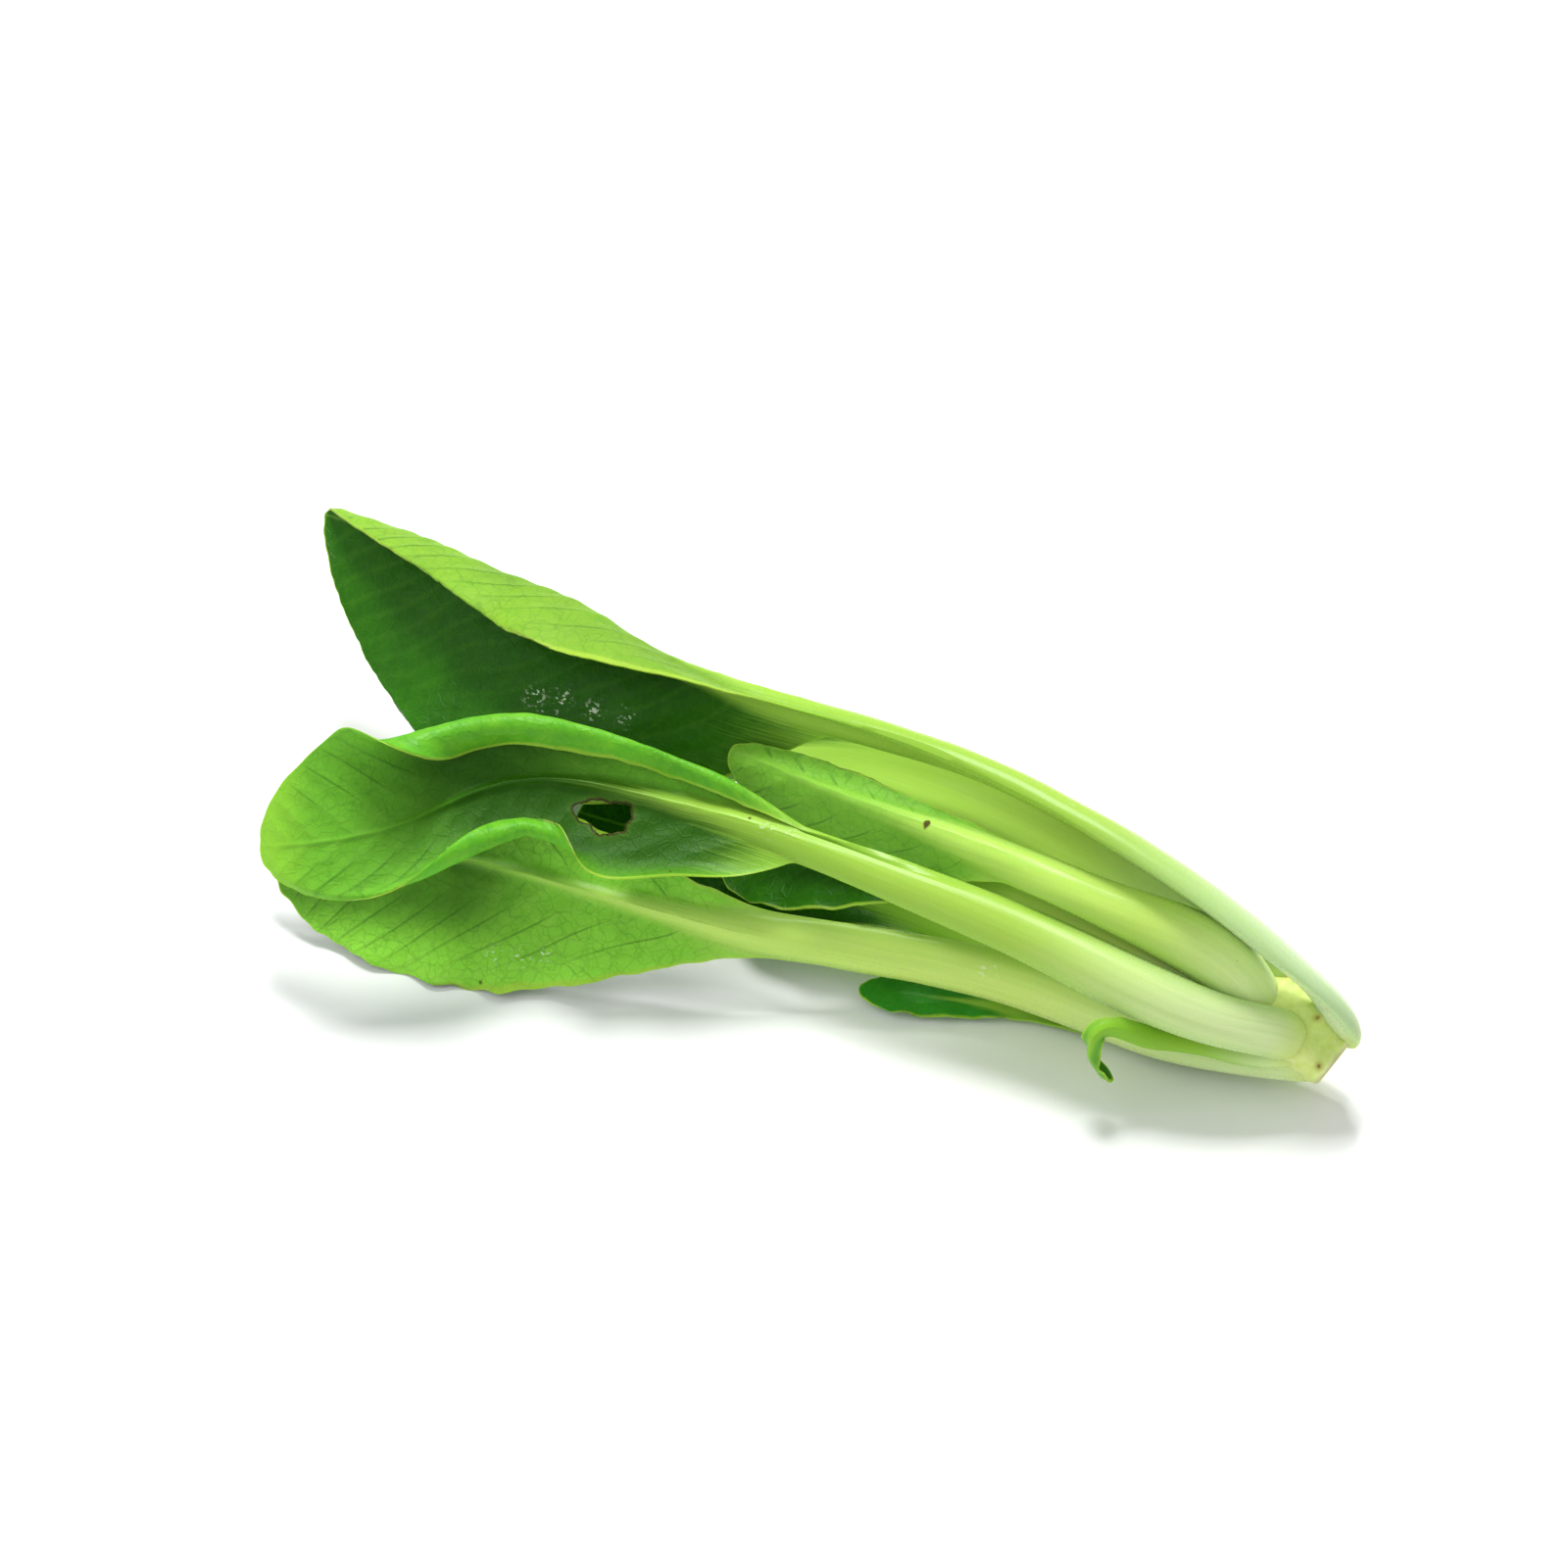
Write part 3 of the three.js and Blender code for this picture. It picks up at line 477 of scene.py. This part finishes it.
def leaf_shape(leaf, rng):
    """The upper and lower face of a leaf as grids of points, which cells are kept, and the fields that
    its finish reads.

    The middle surface is the flat leaf bent into place, with a slow swell, the blade raised between
    its side veins, and small cushions between the walls of a fine net. The blade's thickness lies half
    to each side. The rib adds a fifth of its height above and the rest below. Side veins stand out
    below. The stalk has long fibres, slow lumps and a shallow channel along its inner side."""
    length = measure_spine(leaf)[0][-1]
    rows = int(length / leaf.get("row_step", ROW_STEP))
    columns = int(2 * max(leaf["blade_width"]) / COLUMN_STEP) + EXTRA_COLUMNS
    x, y, margin = set_out(leaf, length, rows, columns, rng)
    hole_distance = np.full_like(x, FAR)
    keep = np.ones((rows - 1, columns - 1), bool)
    if "hole" in leaf:
        x, y, keep, hole_distance = open_hole(leaf["hole"], x, y)
    right = y > 0
    before_tip = np.minimum(x, length - by_side(leaf["tip"], right))
    width = half_width(leaf, length, before_tip, right)
    r = np.clip(np.abs(y) / width, 0, 1)
    height, rib, share = rib_profile(leaf, length, x, y, width)
    phase, spacing = side_veins(leaf, length, x, y, width, right, rng)
    vein = vein_distance(phase, spacing)
    blade = sets_in(leaf, x, 0.85, 0.35)
    strength = blade * (1 - r ** 3) * smooth(margin / 5)

    quilt = QUILT * (smooth(vein / 4) - 0.5) + CUSHION * smooth(wall_distance(x, y, CELL, rng) / 1.3)
    inland = smooth(margin / 6) * smooth(r * 4) * blade * (1 - rib)
    slow = SWELL * swell(x, y, longest=75, shortest=28, rng=rng) * blade * smooth(margin / 3)
    middle = bend(leaf, length, x, y, width)
    middle = middle + face_normals(middle) * (slow + inland * quilt)[..., None]

    sheet = SHEET + (EDGE_SHEET - SHEET) * r ** 4
    stalk = 1 - sets_in(leaf, x, 0.9, 0.6)
    turns = math.pi * (FIBRES * leaf["stalk_width"][1]) * share
    turns = turns + 1.5 * swell(x, y, longest=90, shortest=30, rng=rng)
    fibre = FIBRE * np.cos(turns) * (1 - share ** 4)
    lumps = LUMP * swell(x, y, longest=45, shortest=16, rng=rng) * smooth(x / 10)
    channel = CHANNEL * bell(share, 0.55) * smooth(x / 25)
    above = sheet / 2 + height * UPPER_SHARE + stalk * (0.5 * fibre + lumps - channel)
    below = sheet / 2 + height * (1 - UPPER_SHARE) + stalk * (fibre + lumps)
    below = below + strength * VEIN_HEIGHT * bell(vein, VEIN_WIDTH * (0.45 + (1 - r) ** 2))

    spots, wet = (nearest_spot(leaf.get(kind, []), x, y) for kind in ("spots", "wet"))
    fields = {
        "flat": (x, y, np.full_like(x, leaf["seed"])),
        "part": (x / leaf["stalk"], rib, margin),
        "veins": (phase, spacing, strength * (0.4 + 0.6 * (1 - r))),
        "marks": (hole_distance, spots, wet),
    }
    fields = {name: np.stack(parts, -1).reshape(-1, 3) for name, parts in fields.items()}
    fields["share"] = share.ravel()
    normal = face_normals(middle)
    return middle + normal * above[..., None], middle - normal * below[..., None], keep, fields


def closed_shell(upper, lower, keep):
    """Points and quads of both faces, and of the wall between them. The wall stands on every edge that
    only one kept cell has, so it runs round the margin and round each hole."""
    rows, columns = upper.shape[:2]
    count = rows * columns
    i = np.arange(count).reshape(rows, columns)
    cells = np.stack([i[:-1, :-1], i[1:, :-1], i[1:, 1:], i[:-1, 1:]], -1)[keep]
    start, end = cells.ravel(), np.roll(cells, -1, axis=1).ravel()
    open_edge = ~np.isin(start * count + end, end * count + start)
    start, end = start[open_edge], end[open_edge]
    wall = np.stack([end, start, start + count, end + count], -1)
    quads = np.concatenate([cells, cells[:, ::-1] + count, wall])
    return np.concatenate([upper.reshape(-1, 3), lower.reshape(-1, 3)]), quads


def put_mesh(name, points, faces, fields, finish):
    """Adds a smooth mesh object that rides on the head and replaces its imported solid. Points that no
    face uses are left out."""
    used, faces = np.unique(faces, return_inverse=True)
    faces = faces.reshape(-1, 4)
    mesh = bpy.data.meshes.new(name)
    mesh.vertices.add(len(used))
    mesh.vertices.foreach_set("co", ((points[used] - CENTRE) * MM).ravel())
    mesh.loops.add(faces.size)
    mesh.loops.foreach_set("vertex_index", faces.ravel().astype(np.int32))
    mesh.polygons.add(len(faces))
    mesh.polygons.foreach_set("loop_start", np.arange(0, faces.size, 4, dtype=np.int32))
    mesh.update(calc_edges=True)
    mesh.shade_smooth()
    mesh.set_sharp_from_angle(angle=math.radians(SHARP_ANGLE))
    for field, values in fields.items():
        kind, key = ("FLOAT_VECTOR", "vector") if values.ndim == 2 else ("FLOAT", "value")
        layer = mesh.attributes.new(field, kind, "POINT")
        layer.data.foreach_set(key, values[used].ravel().astype(np.float32))
    mesh.materials.append(finish)
    piece = bpy.data.objects.new(name + "_grown", mesh)
    bpy.context.scene.collection.objects.link(piece)
    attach(piece, "root")
    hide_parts(name)


def put_leaf(name, leaf):
    """Adds one leaf: both faces, the wall round its margin and its hole, and its finish"""
    upper, lower, keep, fields = leaf_shape(leaf, np.random.default_rng(leaf["seed"]))
    points, quads = closed_shell(upper, lower, keep)
    fields = {field: np.concatenate([values, values]) for field, values in fields.items()}
    fields["under"] = np.repeat([0.0, 1.0], len(points) // 2)
    finish = leaf_finish(name + "_finish", **leaf.get("tint", {}))
    put_mesh(name, points, quads, fields, finish)


# ---- the stem --------------------------------------------------------------------------
def put_stem():
    """Adds the short stem: a profile turned round its axis, then pushed out and in. The push is a low
    ridge at each leaf scar, a bell of the distance to it along and around, and slow lobes, cosines of
    the angle. Each ring's last place is joined to its first, and the small first and last rings are
    each closed by a ladder of quads from one half of the ring to the other."""
    axis = STEM_TOP - STEM_ROOT
    length = np.linalg.norm(axis)
    axis = axis / length
    side = unit(np.cross(axis, [0, 0, 1.0]))
    other = np.cross(axis, side)
    radius, height = spline(STEM_PROFILE, np.linspace(0, 1, STEM_RINGS)).T
    angle = np.linspace(0, 2 * math.pi, STEM_PLACES, endpoint=False)
    radius, angle = np.meshgrid(radius * STEM_RADIUS, angle, indexing="ij")
    height = height[:, None] * np.ones_like(angle)
    on_side = smooth((height - 0.3) / 1.2)
    lobes = 1 + 0.07 * np.cos(2 * angle + 0.7) + 0.05 * np.cos(3 * angle + 2) + 0.03 * np.cos(5 * angle)
    rough = 0.10 * swell(height * 2 + angle * 5, angle * 5, longest=9, shortest=2.5, rng=RNG)
    spot = np.full_like(angle, FAR)
    for scar_height, scar_angle in STEM_SCARS:
        around = (angle - scar_angle + math.pi) % (2 * math.pi) - math.pi
        near = bell(height - scar_height - 0.8 * around ** 2, SCAR_BAND) * bell(around, SCAR_SPREAD)
        radius = radius + SCAR_HEIGHT * near
        spot = np.minimum(spot, np.hypot((height - scar_height - 0.6) * 1.3, around * STEM_RADIUS) - 0.3)
    out = np.maximum(radius * lobes + rough * on_side, 0)
    points = (STEM_ROOT + axis * height[..., None] + side * (out * np.cos(angle))[..., None]
              + other * (out * np.sin(angle))[..., None])
    rows, columns = angle.shape
    i = np.arange(rows * columns).reshape(rows, columns)
    j = np.roll(i, -1, axis=1)
    wall = np.stack([i[:-1], j[:-1], j[1:], i[1:]], -1).reshape(-1, 4)
    k = np.arange(columns // 2 - 1)
    ladder = np.stack([columns - 1 - k, columns - 2 - k, k + 1, k], -1)
    quads = np.concatenate([wall, ladder, ladder[:, ::-1] + (rows - 1) * columns])
    flat = np.stack([height, angle * STEM_RADIUS, radius / STEM_RADIUS], -1)
    fields = {"flat": flat.reshape(-1, 3), "spot": spot.ravel(), "cut": (1 - on_side).ravel()}
    put_mesh("stem_base", points.reshape(-1, 3), quads, fields, stem_finish())


# ---- finishes --------------------------------------------------------------------------
# Colours are screen values from 0 to 255. Above is a leaf's upper face, and below its underside.
NET_ABOVE, FINE_NET_ABOVE, VEIN_ABOVE = (84, 152, 40), (70, 140, 30), (96, 160, 44)
NET_BELOW, FINE_NET_BELOW, VEIN_BELOW = (78, 146, 38), (84, 150, 40), (40, 100, 16)
VEIN_LOOP, BESIDE_VEIN, MARGIN = (50, 108, 22), (150, 204, 76), (176, 206, 70)
# painted shade for an underside's hollow, and a painted shadow cast by a leaf lying above
PAINTED_HOLLOW_SHADE, SHADE = (30, 82, 2), (44, 96, 10)
RIB_END, STALK_SIDE_AND_SHADE, FOOT_END = (132, 186, 64), (126, 178, 48), (204, 222, 116)
NECK_LOSS = (14, 5, 14)  # how far the stalk's values drop on the way to the blade
STREAK, FINE_STREAK = (146, 190, 66), (214, 232, 160)
# the last colour on the next line is white, for painted glints of water on wet patches
HOLE_HALO, HOLE_RIM, SPOT, PAINTED_GLINT = (150, 176, 66), (56, 44, 14), (70, 44, 14), (248, 255, 236)
STEM_GREEN, STEM_PALE = (210, 228, 124), (222, 236, 150)
CUT_PALE, CUT_DARK, CUT_RING = (236, 238, 188), (220, 226, 160), (176, 168, 92)
SCAR_HALO, SCAR = (176, 160, 72), (92, 60, 28)
BOARD_DULL, BOARD_WHITE = (246, 247, 246), (250, 250, 249)
ROUGH_ABOVE, ROUGH_BELOW, ROUGH_RIB, ROUGH_WET, ROUGH_SPOT = 0.36, 0.52, 0.26, 0.12, 0.8


def srgb(colour, *factors):
    """A colour given as screen values, each of them times its factor, as linear light"""
    value = np.array(colour) * (factors or 1) / 255
    linear = np.where(value <= 0.04045, value / 12.92, ((value + 0.055) / 1.055) ** 2.4)
    return (*linear, 1.0)


def grey(value):
    return value, value, value, 1.0


class Finish:
    """A material being put together. Its methods add nodes and return their outputs."""

    def __init__(self, name):
        self.material = bpy.data.materials.new(name)
        self.material.use_nodes = True
        self.tree = self.material.node_tree
        self.shader = self.tree.nodes["Principled BSDF"]

    def node(self, kind, inputs, **settings):
        """A node with its settings, and each named input joined to an output or set to a value"""
        node = self.tree.nodes.new(kind)
        for setting, value in settings.items():
            setattr(node, setting, value)
        for key, value in inputs.items():
            if isinstance(value, bpy.types.NodeSocket):
                self.tree.links.new(value, node.inputs[key])
            else:
                node.inputs[key].default_value = value
        return node

    def field(self, name):
        """The three parts of a field kept in the mesh, and the field as a vector"""
        vector = self.node("ShaderNodeAttribute", {}, attribute_name=name).outputs["Vector"]
        return *self.node("ShaderNodeSeparateXYZ", {0: vector}).outputs, vector

    def value(self, name):
        """A field of single numbers"""
        return self.node("ShaderNodeAttribute", {}, attribute_name=name).outputs["Fac"]

    def math(self, operation, a, b=0.0, c=0.0):
        return self.node("ShaderNodeMath", {0: a, 1: b, 2: c}, operation=operation).outputs[0]

    def ramp(self, value, low, high, start=0.0, end=1.0):
        """Runs smoothly from start to end as the value goes from low to high"""
        inputs = {"Value": value, "From Min": low, "From Max": high, "To Min": start, "To Max": end}
        return self.node("ShaderNodeMapRange", inputs, interpolation_type="SMOOTHSTEP").outputs[0]

    def mix(self, share, a, b):
        """Colour a, turning to b as share goes to 1"""
        node = self.node("ShaderNodeMix", {"Factor": share}, data_type="RGBA")
        for socket, colour in ((node.inputs[6], a), (node.inputs[7], b)):
            if isinstance(colour, bpy.types.NodeSocket):
                self.tree.links.new(colour, socket)
            else:
                socket.default_value = colour
        return node.outputs[2]

    def product(self, first, *others):
        for other in others:
            first = self.math("MULTIPLY", first, other)
        return first

    def cover(self, base, colour, *shares):
        """The base, turning to a screen colour as the product of the shares goes to 1"""
        return self.mix(self.product(*shares), base, srgb(colour))

    def stretch(self, vector, along, across):
        """The flat place with its lengths scaled, so that a pattern is drawn out along the leaf"""
        inputs = {"Vector": vector, "Scale": (along, across, 1.0)}
        return self.node("ShaderNodeMapping", inputs).outputs[0]

    def wander(self, vector, scale, reach):
        """The place pushed about, so that lines drawn from it aren't straight"""
        def vector_math(operation, inputs):
            return self.node("ShaderNodeVectorMath", inputs, operation=operation).outputs[0]

        inputs = {"Vector": vector, "Scale": scale, "Detail": 2.0}
        push = self.node("ShaderNodeTexNoise", inputs).outputs["Color"]
        push = vector_math("SUBTRACT", {0: push, 1: (0.5, 0.5, 0.5)})
        return vector_math("ADD", {0: vector, 1: vector_math("SCALE", {0: push, "Scale": reach})})

    def noise(self, vector, scale, detail=3.0, rough=0.55):
        inputs = {"Vector": vector, "Scale": scale, "Detail": detail, "Roughness": rough}
        return self.node("ShaderNodeTexNoise", inputs).outputs["Fac"]

    def walls(self, vector, scale):
        """Distance to the walls of a net of cells"""
        inputs = {"Vector": vector, "Scale": scale}
        return self.node("ShaderNodeTexVoronoi", inputs, feature="DISTANCE_TO_EDGE").outputs["Distance"]

    def relief(self, height, strength, distance, under=None):
        """A bump, distance metres high where the height is 1, on top of the bump given in under"""
        inputs = {"Strength": strength, "Distance": distance, "Height": height}
        if under is not None:
            inputs["Normal"] = under
        return self.node("ShaderNodeBump", inputs).outputs[0]

    def connect(self, **inputs):
        for key, value in inputs.items():
            self.tree.links.new(value, self.shader.inputs[key.replace("_", " ")])


def flesh(finish, weight, radius, scale):
    """Light that sinks into plant flesh and comes out nearby, and a weak watery gleam"""
    sockets = finish.shader.inputs
    sockets["Subsurface Weight"].default_value = weight
    sockets["Subsurface Radius"].default_value = radius
    sockets["Subsurface Scale"].default_value = scale
    sockets["IOR"].default_value = 1.42
    sockets["Specular IOR Level"].default_value = 0.2


def leaf_finish(name, upper=(36, 94, 6), under=(112, 176, 52), stalk=(172, 206, 86),
                foot=(212, 233, 166), inland=0.25, ribbed=0.55, tip=None, shaded=0.0):
    """A leaf: green blade, darker and glossier above, with pale side veins and a fine net, running out
    of a pale stalk with long fibres. The foot of the stalk is nearly white, the margin yellowish.

    upper, under, stalk and foot are its main colours, and tip that of the underside's end. inland is how
    dark the painted shade in the underside's hollow is, shaded how dark the painted shadow over its outer
    part is but for the left margin, and ribbed how much of the stalk's colour the midrib keeps. Patterns
    are drawn on the flat leaf."""
    f = Finish(name)
    x, y, _, flat = f.field("flat")
    along, rib, margin, _ = f.field("part")
    phase, spacing, strength, _ = f.field("veins")
    hole, spot, wet, _ = f.field("marks")
    share, below = f.value("share"), f.value("under")

    cloud = f.noise(flat, 0.045, 3)
    mottle = f.noise(flat, 0.35, 4, 0.6)
    grain = f.noise(flat, 3.2, 3, 0.6)
    streak = f.noise(f.stretch(flat, 0.03, 1.0), 0.9, 3, 0.6)
    fine_streak = f.noise(f.stretch(flat, 0.06, 2.6), 1.0, 3, 0.6)
    loops = f.ramp(f.walls(f.stretch(f.wander(flat, 0.2, 7.0), 0.6, 1.5), 0.13), 0.0, 0.035, 1.0, 0.0)
    net = f.ramp(f.walls(f.wander(flat, 0.5, 1.2), 0.36), 0.0, 0.11, 1.0, 0.0)
    fine_net = f.ramp(f.walls(flat, 1.1), 0.0, 0.14, 1.0, 0.0)
    nearest = f.product(f.math("PINGPONG", phase, 0.5), spacing)
    vein_core = f.product(f.ramp(nearest, 0.04, 0.28, 1.0, 0.0), strength)
    vein_side = f.product(f.ramp(nearest, 0.1, 0.9, 1.0, 0.0), strength)

    # upper face
    top = f.mix(cloud, srgb(upper, 0.82), srgb(upper, 1.28))
    top = f.mix(f.ramp(mottle, 0.3, 0.75, 0.0, 0.5), top, srgb(upper, 1.5, 1.22, 1.2))
    top = f.cover(top, FINE_NET_ABOVE, fine_net, 0.06)
    top = f.cover(top, NET_ABOVE, net, 0.07)
    top = f.cover(top, VEIN_ABOVE, vein_side, 0.14)

    # underside: its net, its veins, pale beside them near the rib, painted shade in its hollow, and a
    # painted shadow over its outer part
    back = f.mix(cloud, srgb(under, 0.90), srgb(under, 1.12))
    back = f.mix(f.ramp(mottle, 0.3, 0.75, 0.0, 0.4), back, srgb(under, 1.15, 1.05, 1.3))
    back = f.cover(back, FINE_NET_BELOW, fine_net, 0.12)
    back = f.cover(back, NET_BELOW, net, 0.18)
    near_rib = f.ramp(strength, 0.6, 0.95)
    back = f.cover(back, BESIDE_VEIN, vein_side, near_rib, 0.12)
    back = f.cover(back, VEIN_BELOW, vein_core, f.ramp(near_rib, 0.0, 1.0, 0.8, 0.0))
    back = f.cover(back, VEIN_LOOP, loops, f.ramp(rib, 0.0, 0.5, 0.24, 0.0))
    # painted shade in the underside's hollow, as dark as inland, fading out before the tip
    inner = f.mix(f.ramp(along, 1.4, 1.62), f.ramp(margin, -5.0, 7.0), f.ramp(margin, 3.0, 15.0))
    one_side = f.math("MAXIMUM", f.ramp(y, 0.0, 4.0, 1.0, 0.0), f.ramp(along, 1.3, 1.6))
    before_tip = f.ramp(along, 1.6, 1.94, inland, 0.05 * inland)
    back = f.cover(back, PAINTED_HOLLOW_SHADE, inner, before_tip, one_side)
    if tip:
        back = f.cover(back, tip, f.ramp(along, 1.92, 2.05, 0.0, 0.85))
    # painted shadow of a leaf above over the underside's outer part, but for the left margin, as dark as
    # shaded
    back = f.cover(back, SHADE, f.ramp(along, 1.42, 1.6), f.ramp(y, -22.0, -8.0, 0.0, shaded))
    blade = f.cover(f.mix(below, top, back), MARGIN, f.ramp(margin, 0.1, 0.5, 0.6, 0.0))

    # stalk and midrib, whose edge is frayed by the fibres
    pale = f.mix(f.ramp(along, 0.1, 0.6), srgb(foot), srgb(stalk))
    pale = f.cover(pale, np.subtract(stalk, NECK_LOSS), f.ramp(along, 0.45, 1.1))
    pale = f.cover(pale, RIB_END, f.ramp(along, 1.1, 1.9))
    # greener towards the stalk's sides: partly their own colour, partly painted shade of the stalk's
    # rounding
    pale = f.cover(pale, STALK_SIDE_AND_SHADE, f.ramp(share, 0.4, 1.0, 0.0, 0.4))
    pale = f.cover(pale, STREAK, f.ramp(streak, 0.35, 0.75, 0.0, 0.2))
    pale = f.cover(pale, FINE_STREAK, f.ramp(fine_streak, 0.5, 0.85, 0.0, 0.16))
    pale = f.cover(pale, FOOT_END, f.ramp(x, 0.5, 9.0, 0.8, 0.0))
    shown = f.product(rib, f.ramp(along, 1.05, 1.6, 1.0, ribbed))
    fringe = f.math("ADD", shown, f.ramp(fine_streak, 0.2, 0.8, -0.16, 0.16))
    colour = f.mix(f.ramp(fringe, 0.2, 0.9), blade, pale)

    # marks: an eaten hole's halo and brown rim, brown spots, and painted glints on the wet patches
    colour = f.cover(colour, HOLE_HALO, f.ramp(hole, 0.3, 2.2, 0.1, 0.0))
    colour = f.cover(colour, HOLE_RIM, f.ramp(hole, 0.1, 0.8, 0.95, 0.0))
    colour = f.cover(colour, SPOT, f.ramp(spot, -0.1, 0.35, 0.92, 0.0))
    # painted glints: white flecks on the wet patches stand in for the sparkle of water
    painted_glints = f.ramp(f.noise(f.stretch(flat, 0.8, 1.5), 1.1, 2), 0.59, 0.65)
    colour = f.cover(colour, PAINTED_GLINT, f.ramp(wet, -2.0, 2.0, 1.0, 0.0), painted_glints, 0.85)

    rough = f.mix(below, grey(ROUGH_ABOVE), grey(ROUGH_BELOW))
    rough = f.mix(rib, rough, grey(ROUGH_RIB))
    rough = f.math("ADD", rough, f.ramp(grain, 0.2, 0.8, -0.06, 0.08))
    film = f.product(f.ramp(wet, -3.0, 1.5, 1.0, 0.0), f.ramp(f.noise(flat, 0.9, 2), 0.45, 0.7))
    rough = f.mix(f.ramp(film, 0.0, 0.1), rough, grey(ROUGH_WET))
    rough = f.mix(f.ramp(spot, -0.1, 0.5, 1.0, 0.0), rough, grey(ROUGH_SPOT))

    on_blade = f.math("SUBTRACT", 1.0, rib)
    relief = f.relief(f.product(fine_streak, rib), strength=0.25, distance=0.0001)
    relief = f.relief(f.product(net, on_blade), strength=0.5, distance=0.00012, under=relief)
    relief = f.relief(f.product(fine_net, on_blade), strength=0.4, distance=0.00005, under=relief)
    relief = f.relief(grain, strength=0.35, distance=0.00006, under=relief)
    relief = f.relief(film, strength=1.0, distance=0.00015, under=relief)
    f.connect(Base_Color=colour, Roughness=rough, Normal=relief)
    flesh(f, weight=0.5, radius=(0.7, 1.0, 0.15), scale=0.001)
    return f.material


def stem_finish():
    """The stem: moist and pale, a creamy cut end with a darker ring, and brown corky leaf scars"""
    f = Finish("stem_finish")
    _, _, share, flat = f.field("flat")
    spot, cut = f.value("spot"), f.value("cut")
    mottle = f.noise(flat, 0.5, 4, 0.6)
    grain = f.noise(flat, 3.0, 4, 0.6)
    skin = f.mix(f.ramp(mottle, 0.3, 0.7), srgb(STEM_GREEN), srgb(STEM_PALE))
    face = f.mix(f.ramp(grain, 0.3, 0.7), srgb(CUT_PALE), srgb(CUT_DARK))
    off_ring = f.math("ABSOLUTE", f.math("SUBTRACT", share, 0.62))
    colour = f.cover(f.mix(cut, skin, face), CUT_RING, f.ramp(off_ring, 0.02, 0.14, 1.0, 0.0), cut, 0.6)
    colour = f.cover(colour, SCAR_HALO, f.ramp(spot, 0.0, 1.6, 0.6, 0.0))
    colour = f.cover(colour, SCAR, f.ramp(spot, -0.3, 0.5, 0.95, 0.0))
    relief = f.relief(mottle, strength=0.4, distance=0.0004)
    relief = f.relief(grain, strength=0.4, distance=0.00012, under=relief)
    f.connect(Base_Color=colour, Roughness=f.ramp(grain, 0.2, 0.8, 0.34, 0.52), Normal=relief)
    flesh(f, weight=0.35, radius=(0.8, 1.0, 0.4), scale=0.002)
    return f.material


def floor_finish():
    """A smooth matt board, white with the faintest unevenness"""
    f = Finish("floor_finish")
    place = f.node("ShaderNodeTexCoord", {}).outputs["Object"]
    colour = f.mix(f.noise(place, 3.0, 3), srgb(BOARD_DULL), srgb(BOARD_WHITE))
    f.connect(Base_Color=colour, Roughness=f.ramp(f.noise(place, 400.0, 2), 0.0, 1.0, 0.75, 0.85))
    return f.material


# ---- stage -----------------------------------------------------------------------------
def put_floor():
    mesh = bpy.data.meshes.new("floor")
    corners = [(x * FLOOR_REACH, y * FLOOR_REACH, 0) for x, y in ((-1, -1), (1, -1), (1, 1), (-1, 1))]
    mesh.from_pydata(corners, [], [(0, 1, 2, 3)])
    mesh.materials.append(floor_finish())
    floor = bpy.data.objects.new("floor", mesh)
    bpy.context.scene.collection.objects.link(floor)


def bearing(azimuth, elevation):
    """The direction from the head to that bearing and height, in degrees"""
    turn, rise = math.radians(azimuth), math.radians(elevation)
    return Vector((math.sin(turn) * math.cos(rise), -math.cos(turn) * math.cos(rise), math.sin(rise)))


def put_light(name, azimuth, elevation, distance, size, power, lights=True, gleams=True):
    """A square light that looks at the head from that bearing and height. One that doesn't light is
    only seen in reflections, and one that doesn't gleam is left out of them."""
    lamp = bpy.data.lights.new(name, "AREA")
    lamp.size = size
    lamp.energy = power
    light = bpy.data.objects.new(name, lamp)
    place = bearing(azimuth, elevation)
    light.location = place * distance
    light.visible_diffuse = lights
    light.visible_glossy = gleams
    light.rotation_euler = place.to_track_quat("Z", "Y").to_euler()
    bpy.context.scene.collection.objects.link(light)


def put_studio():
    """A bright even surround and four lights: the key, above and behind, a small glint beside it, a
    sparkle that only shows in reflections, and a wide fill in front that doesn't show in them"""
    world = bpy.data.worlds.new("studio")
    bpy.context.scene.world = world
    world.use_nodes = True
    surround = world.node_tree.nodes["Background"]
    surround.inputs["Color"].default_value = (0.96, 0.98, 1.0, 1)
    surround.inputs["Strength"].default_value = 0.5
    put_light("key", -150, 70, distance=1.1, size=0.3, power=9)
    put_light("glint", -165, 58, distance=1.0, size=0.08, power=2.2)
    put_light("sparkle", -50, 46, distance=1.0, size=0.04, power=0.5, lights=False)
    put_light("fill", -30, 50, distance=1.4, size=1.0, power=4.5, gleams=False)
    bpy.context.scene.view_settings.view_transform = "Standard"


def put_camera():
    """Adds the camera. It looks back along its bearing, and is shifted to set the head off centre."""
    turn = math.radians(CAMERA_AZIMUTH)
    right = Vector((math.cos(turn), math.sin(turn), 0))
    back = bearing(CAMERA_AZIMUTH, CAMERA_ELEVATION)
    lens = bpy.data.cameras.new("camera")
    lens.lens, lens.sensor_width = LENS_LENGTH, SENSOR_WIDTH
    lens.shift_x, lens.shift_y = CAMERA_SHIFT
    camera = bpy.data.objects.new("camera", lens)
    camera.matrix_world = Matrix((right, back.cross(right), back)).transposed().to_4x4()
    camera.location = (Vector(CAMERA_TARGET) + back * CAMERA_DISTANCE - Vector(CENTRE)) * MM
    bpy.context.scene.collection.objects.link(camera)
    bpy.context.scene.camera = camera


# ---- the head --------------------------------------------------------------------------
put_camera()
put_studio()
put_floor()
put_stem()
for leaf_name, leaf in LEAVES.items():
    put_leaf(leaf_name, leaf)

bpy.context.view_layer.update()
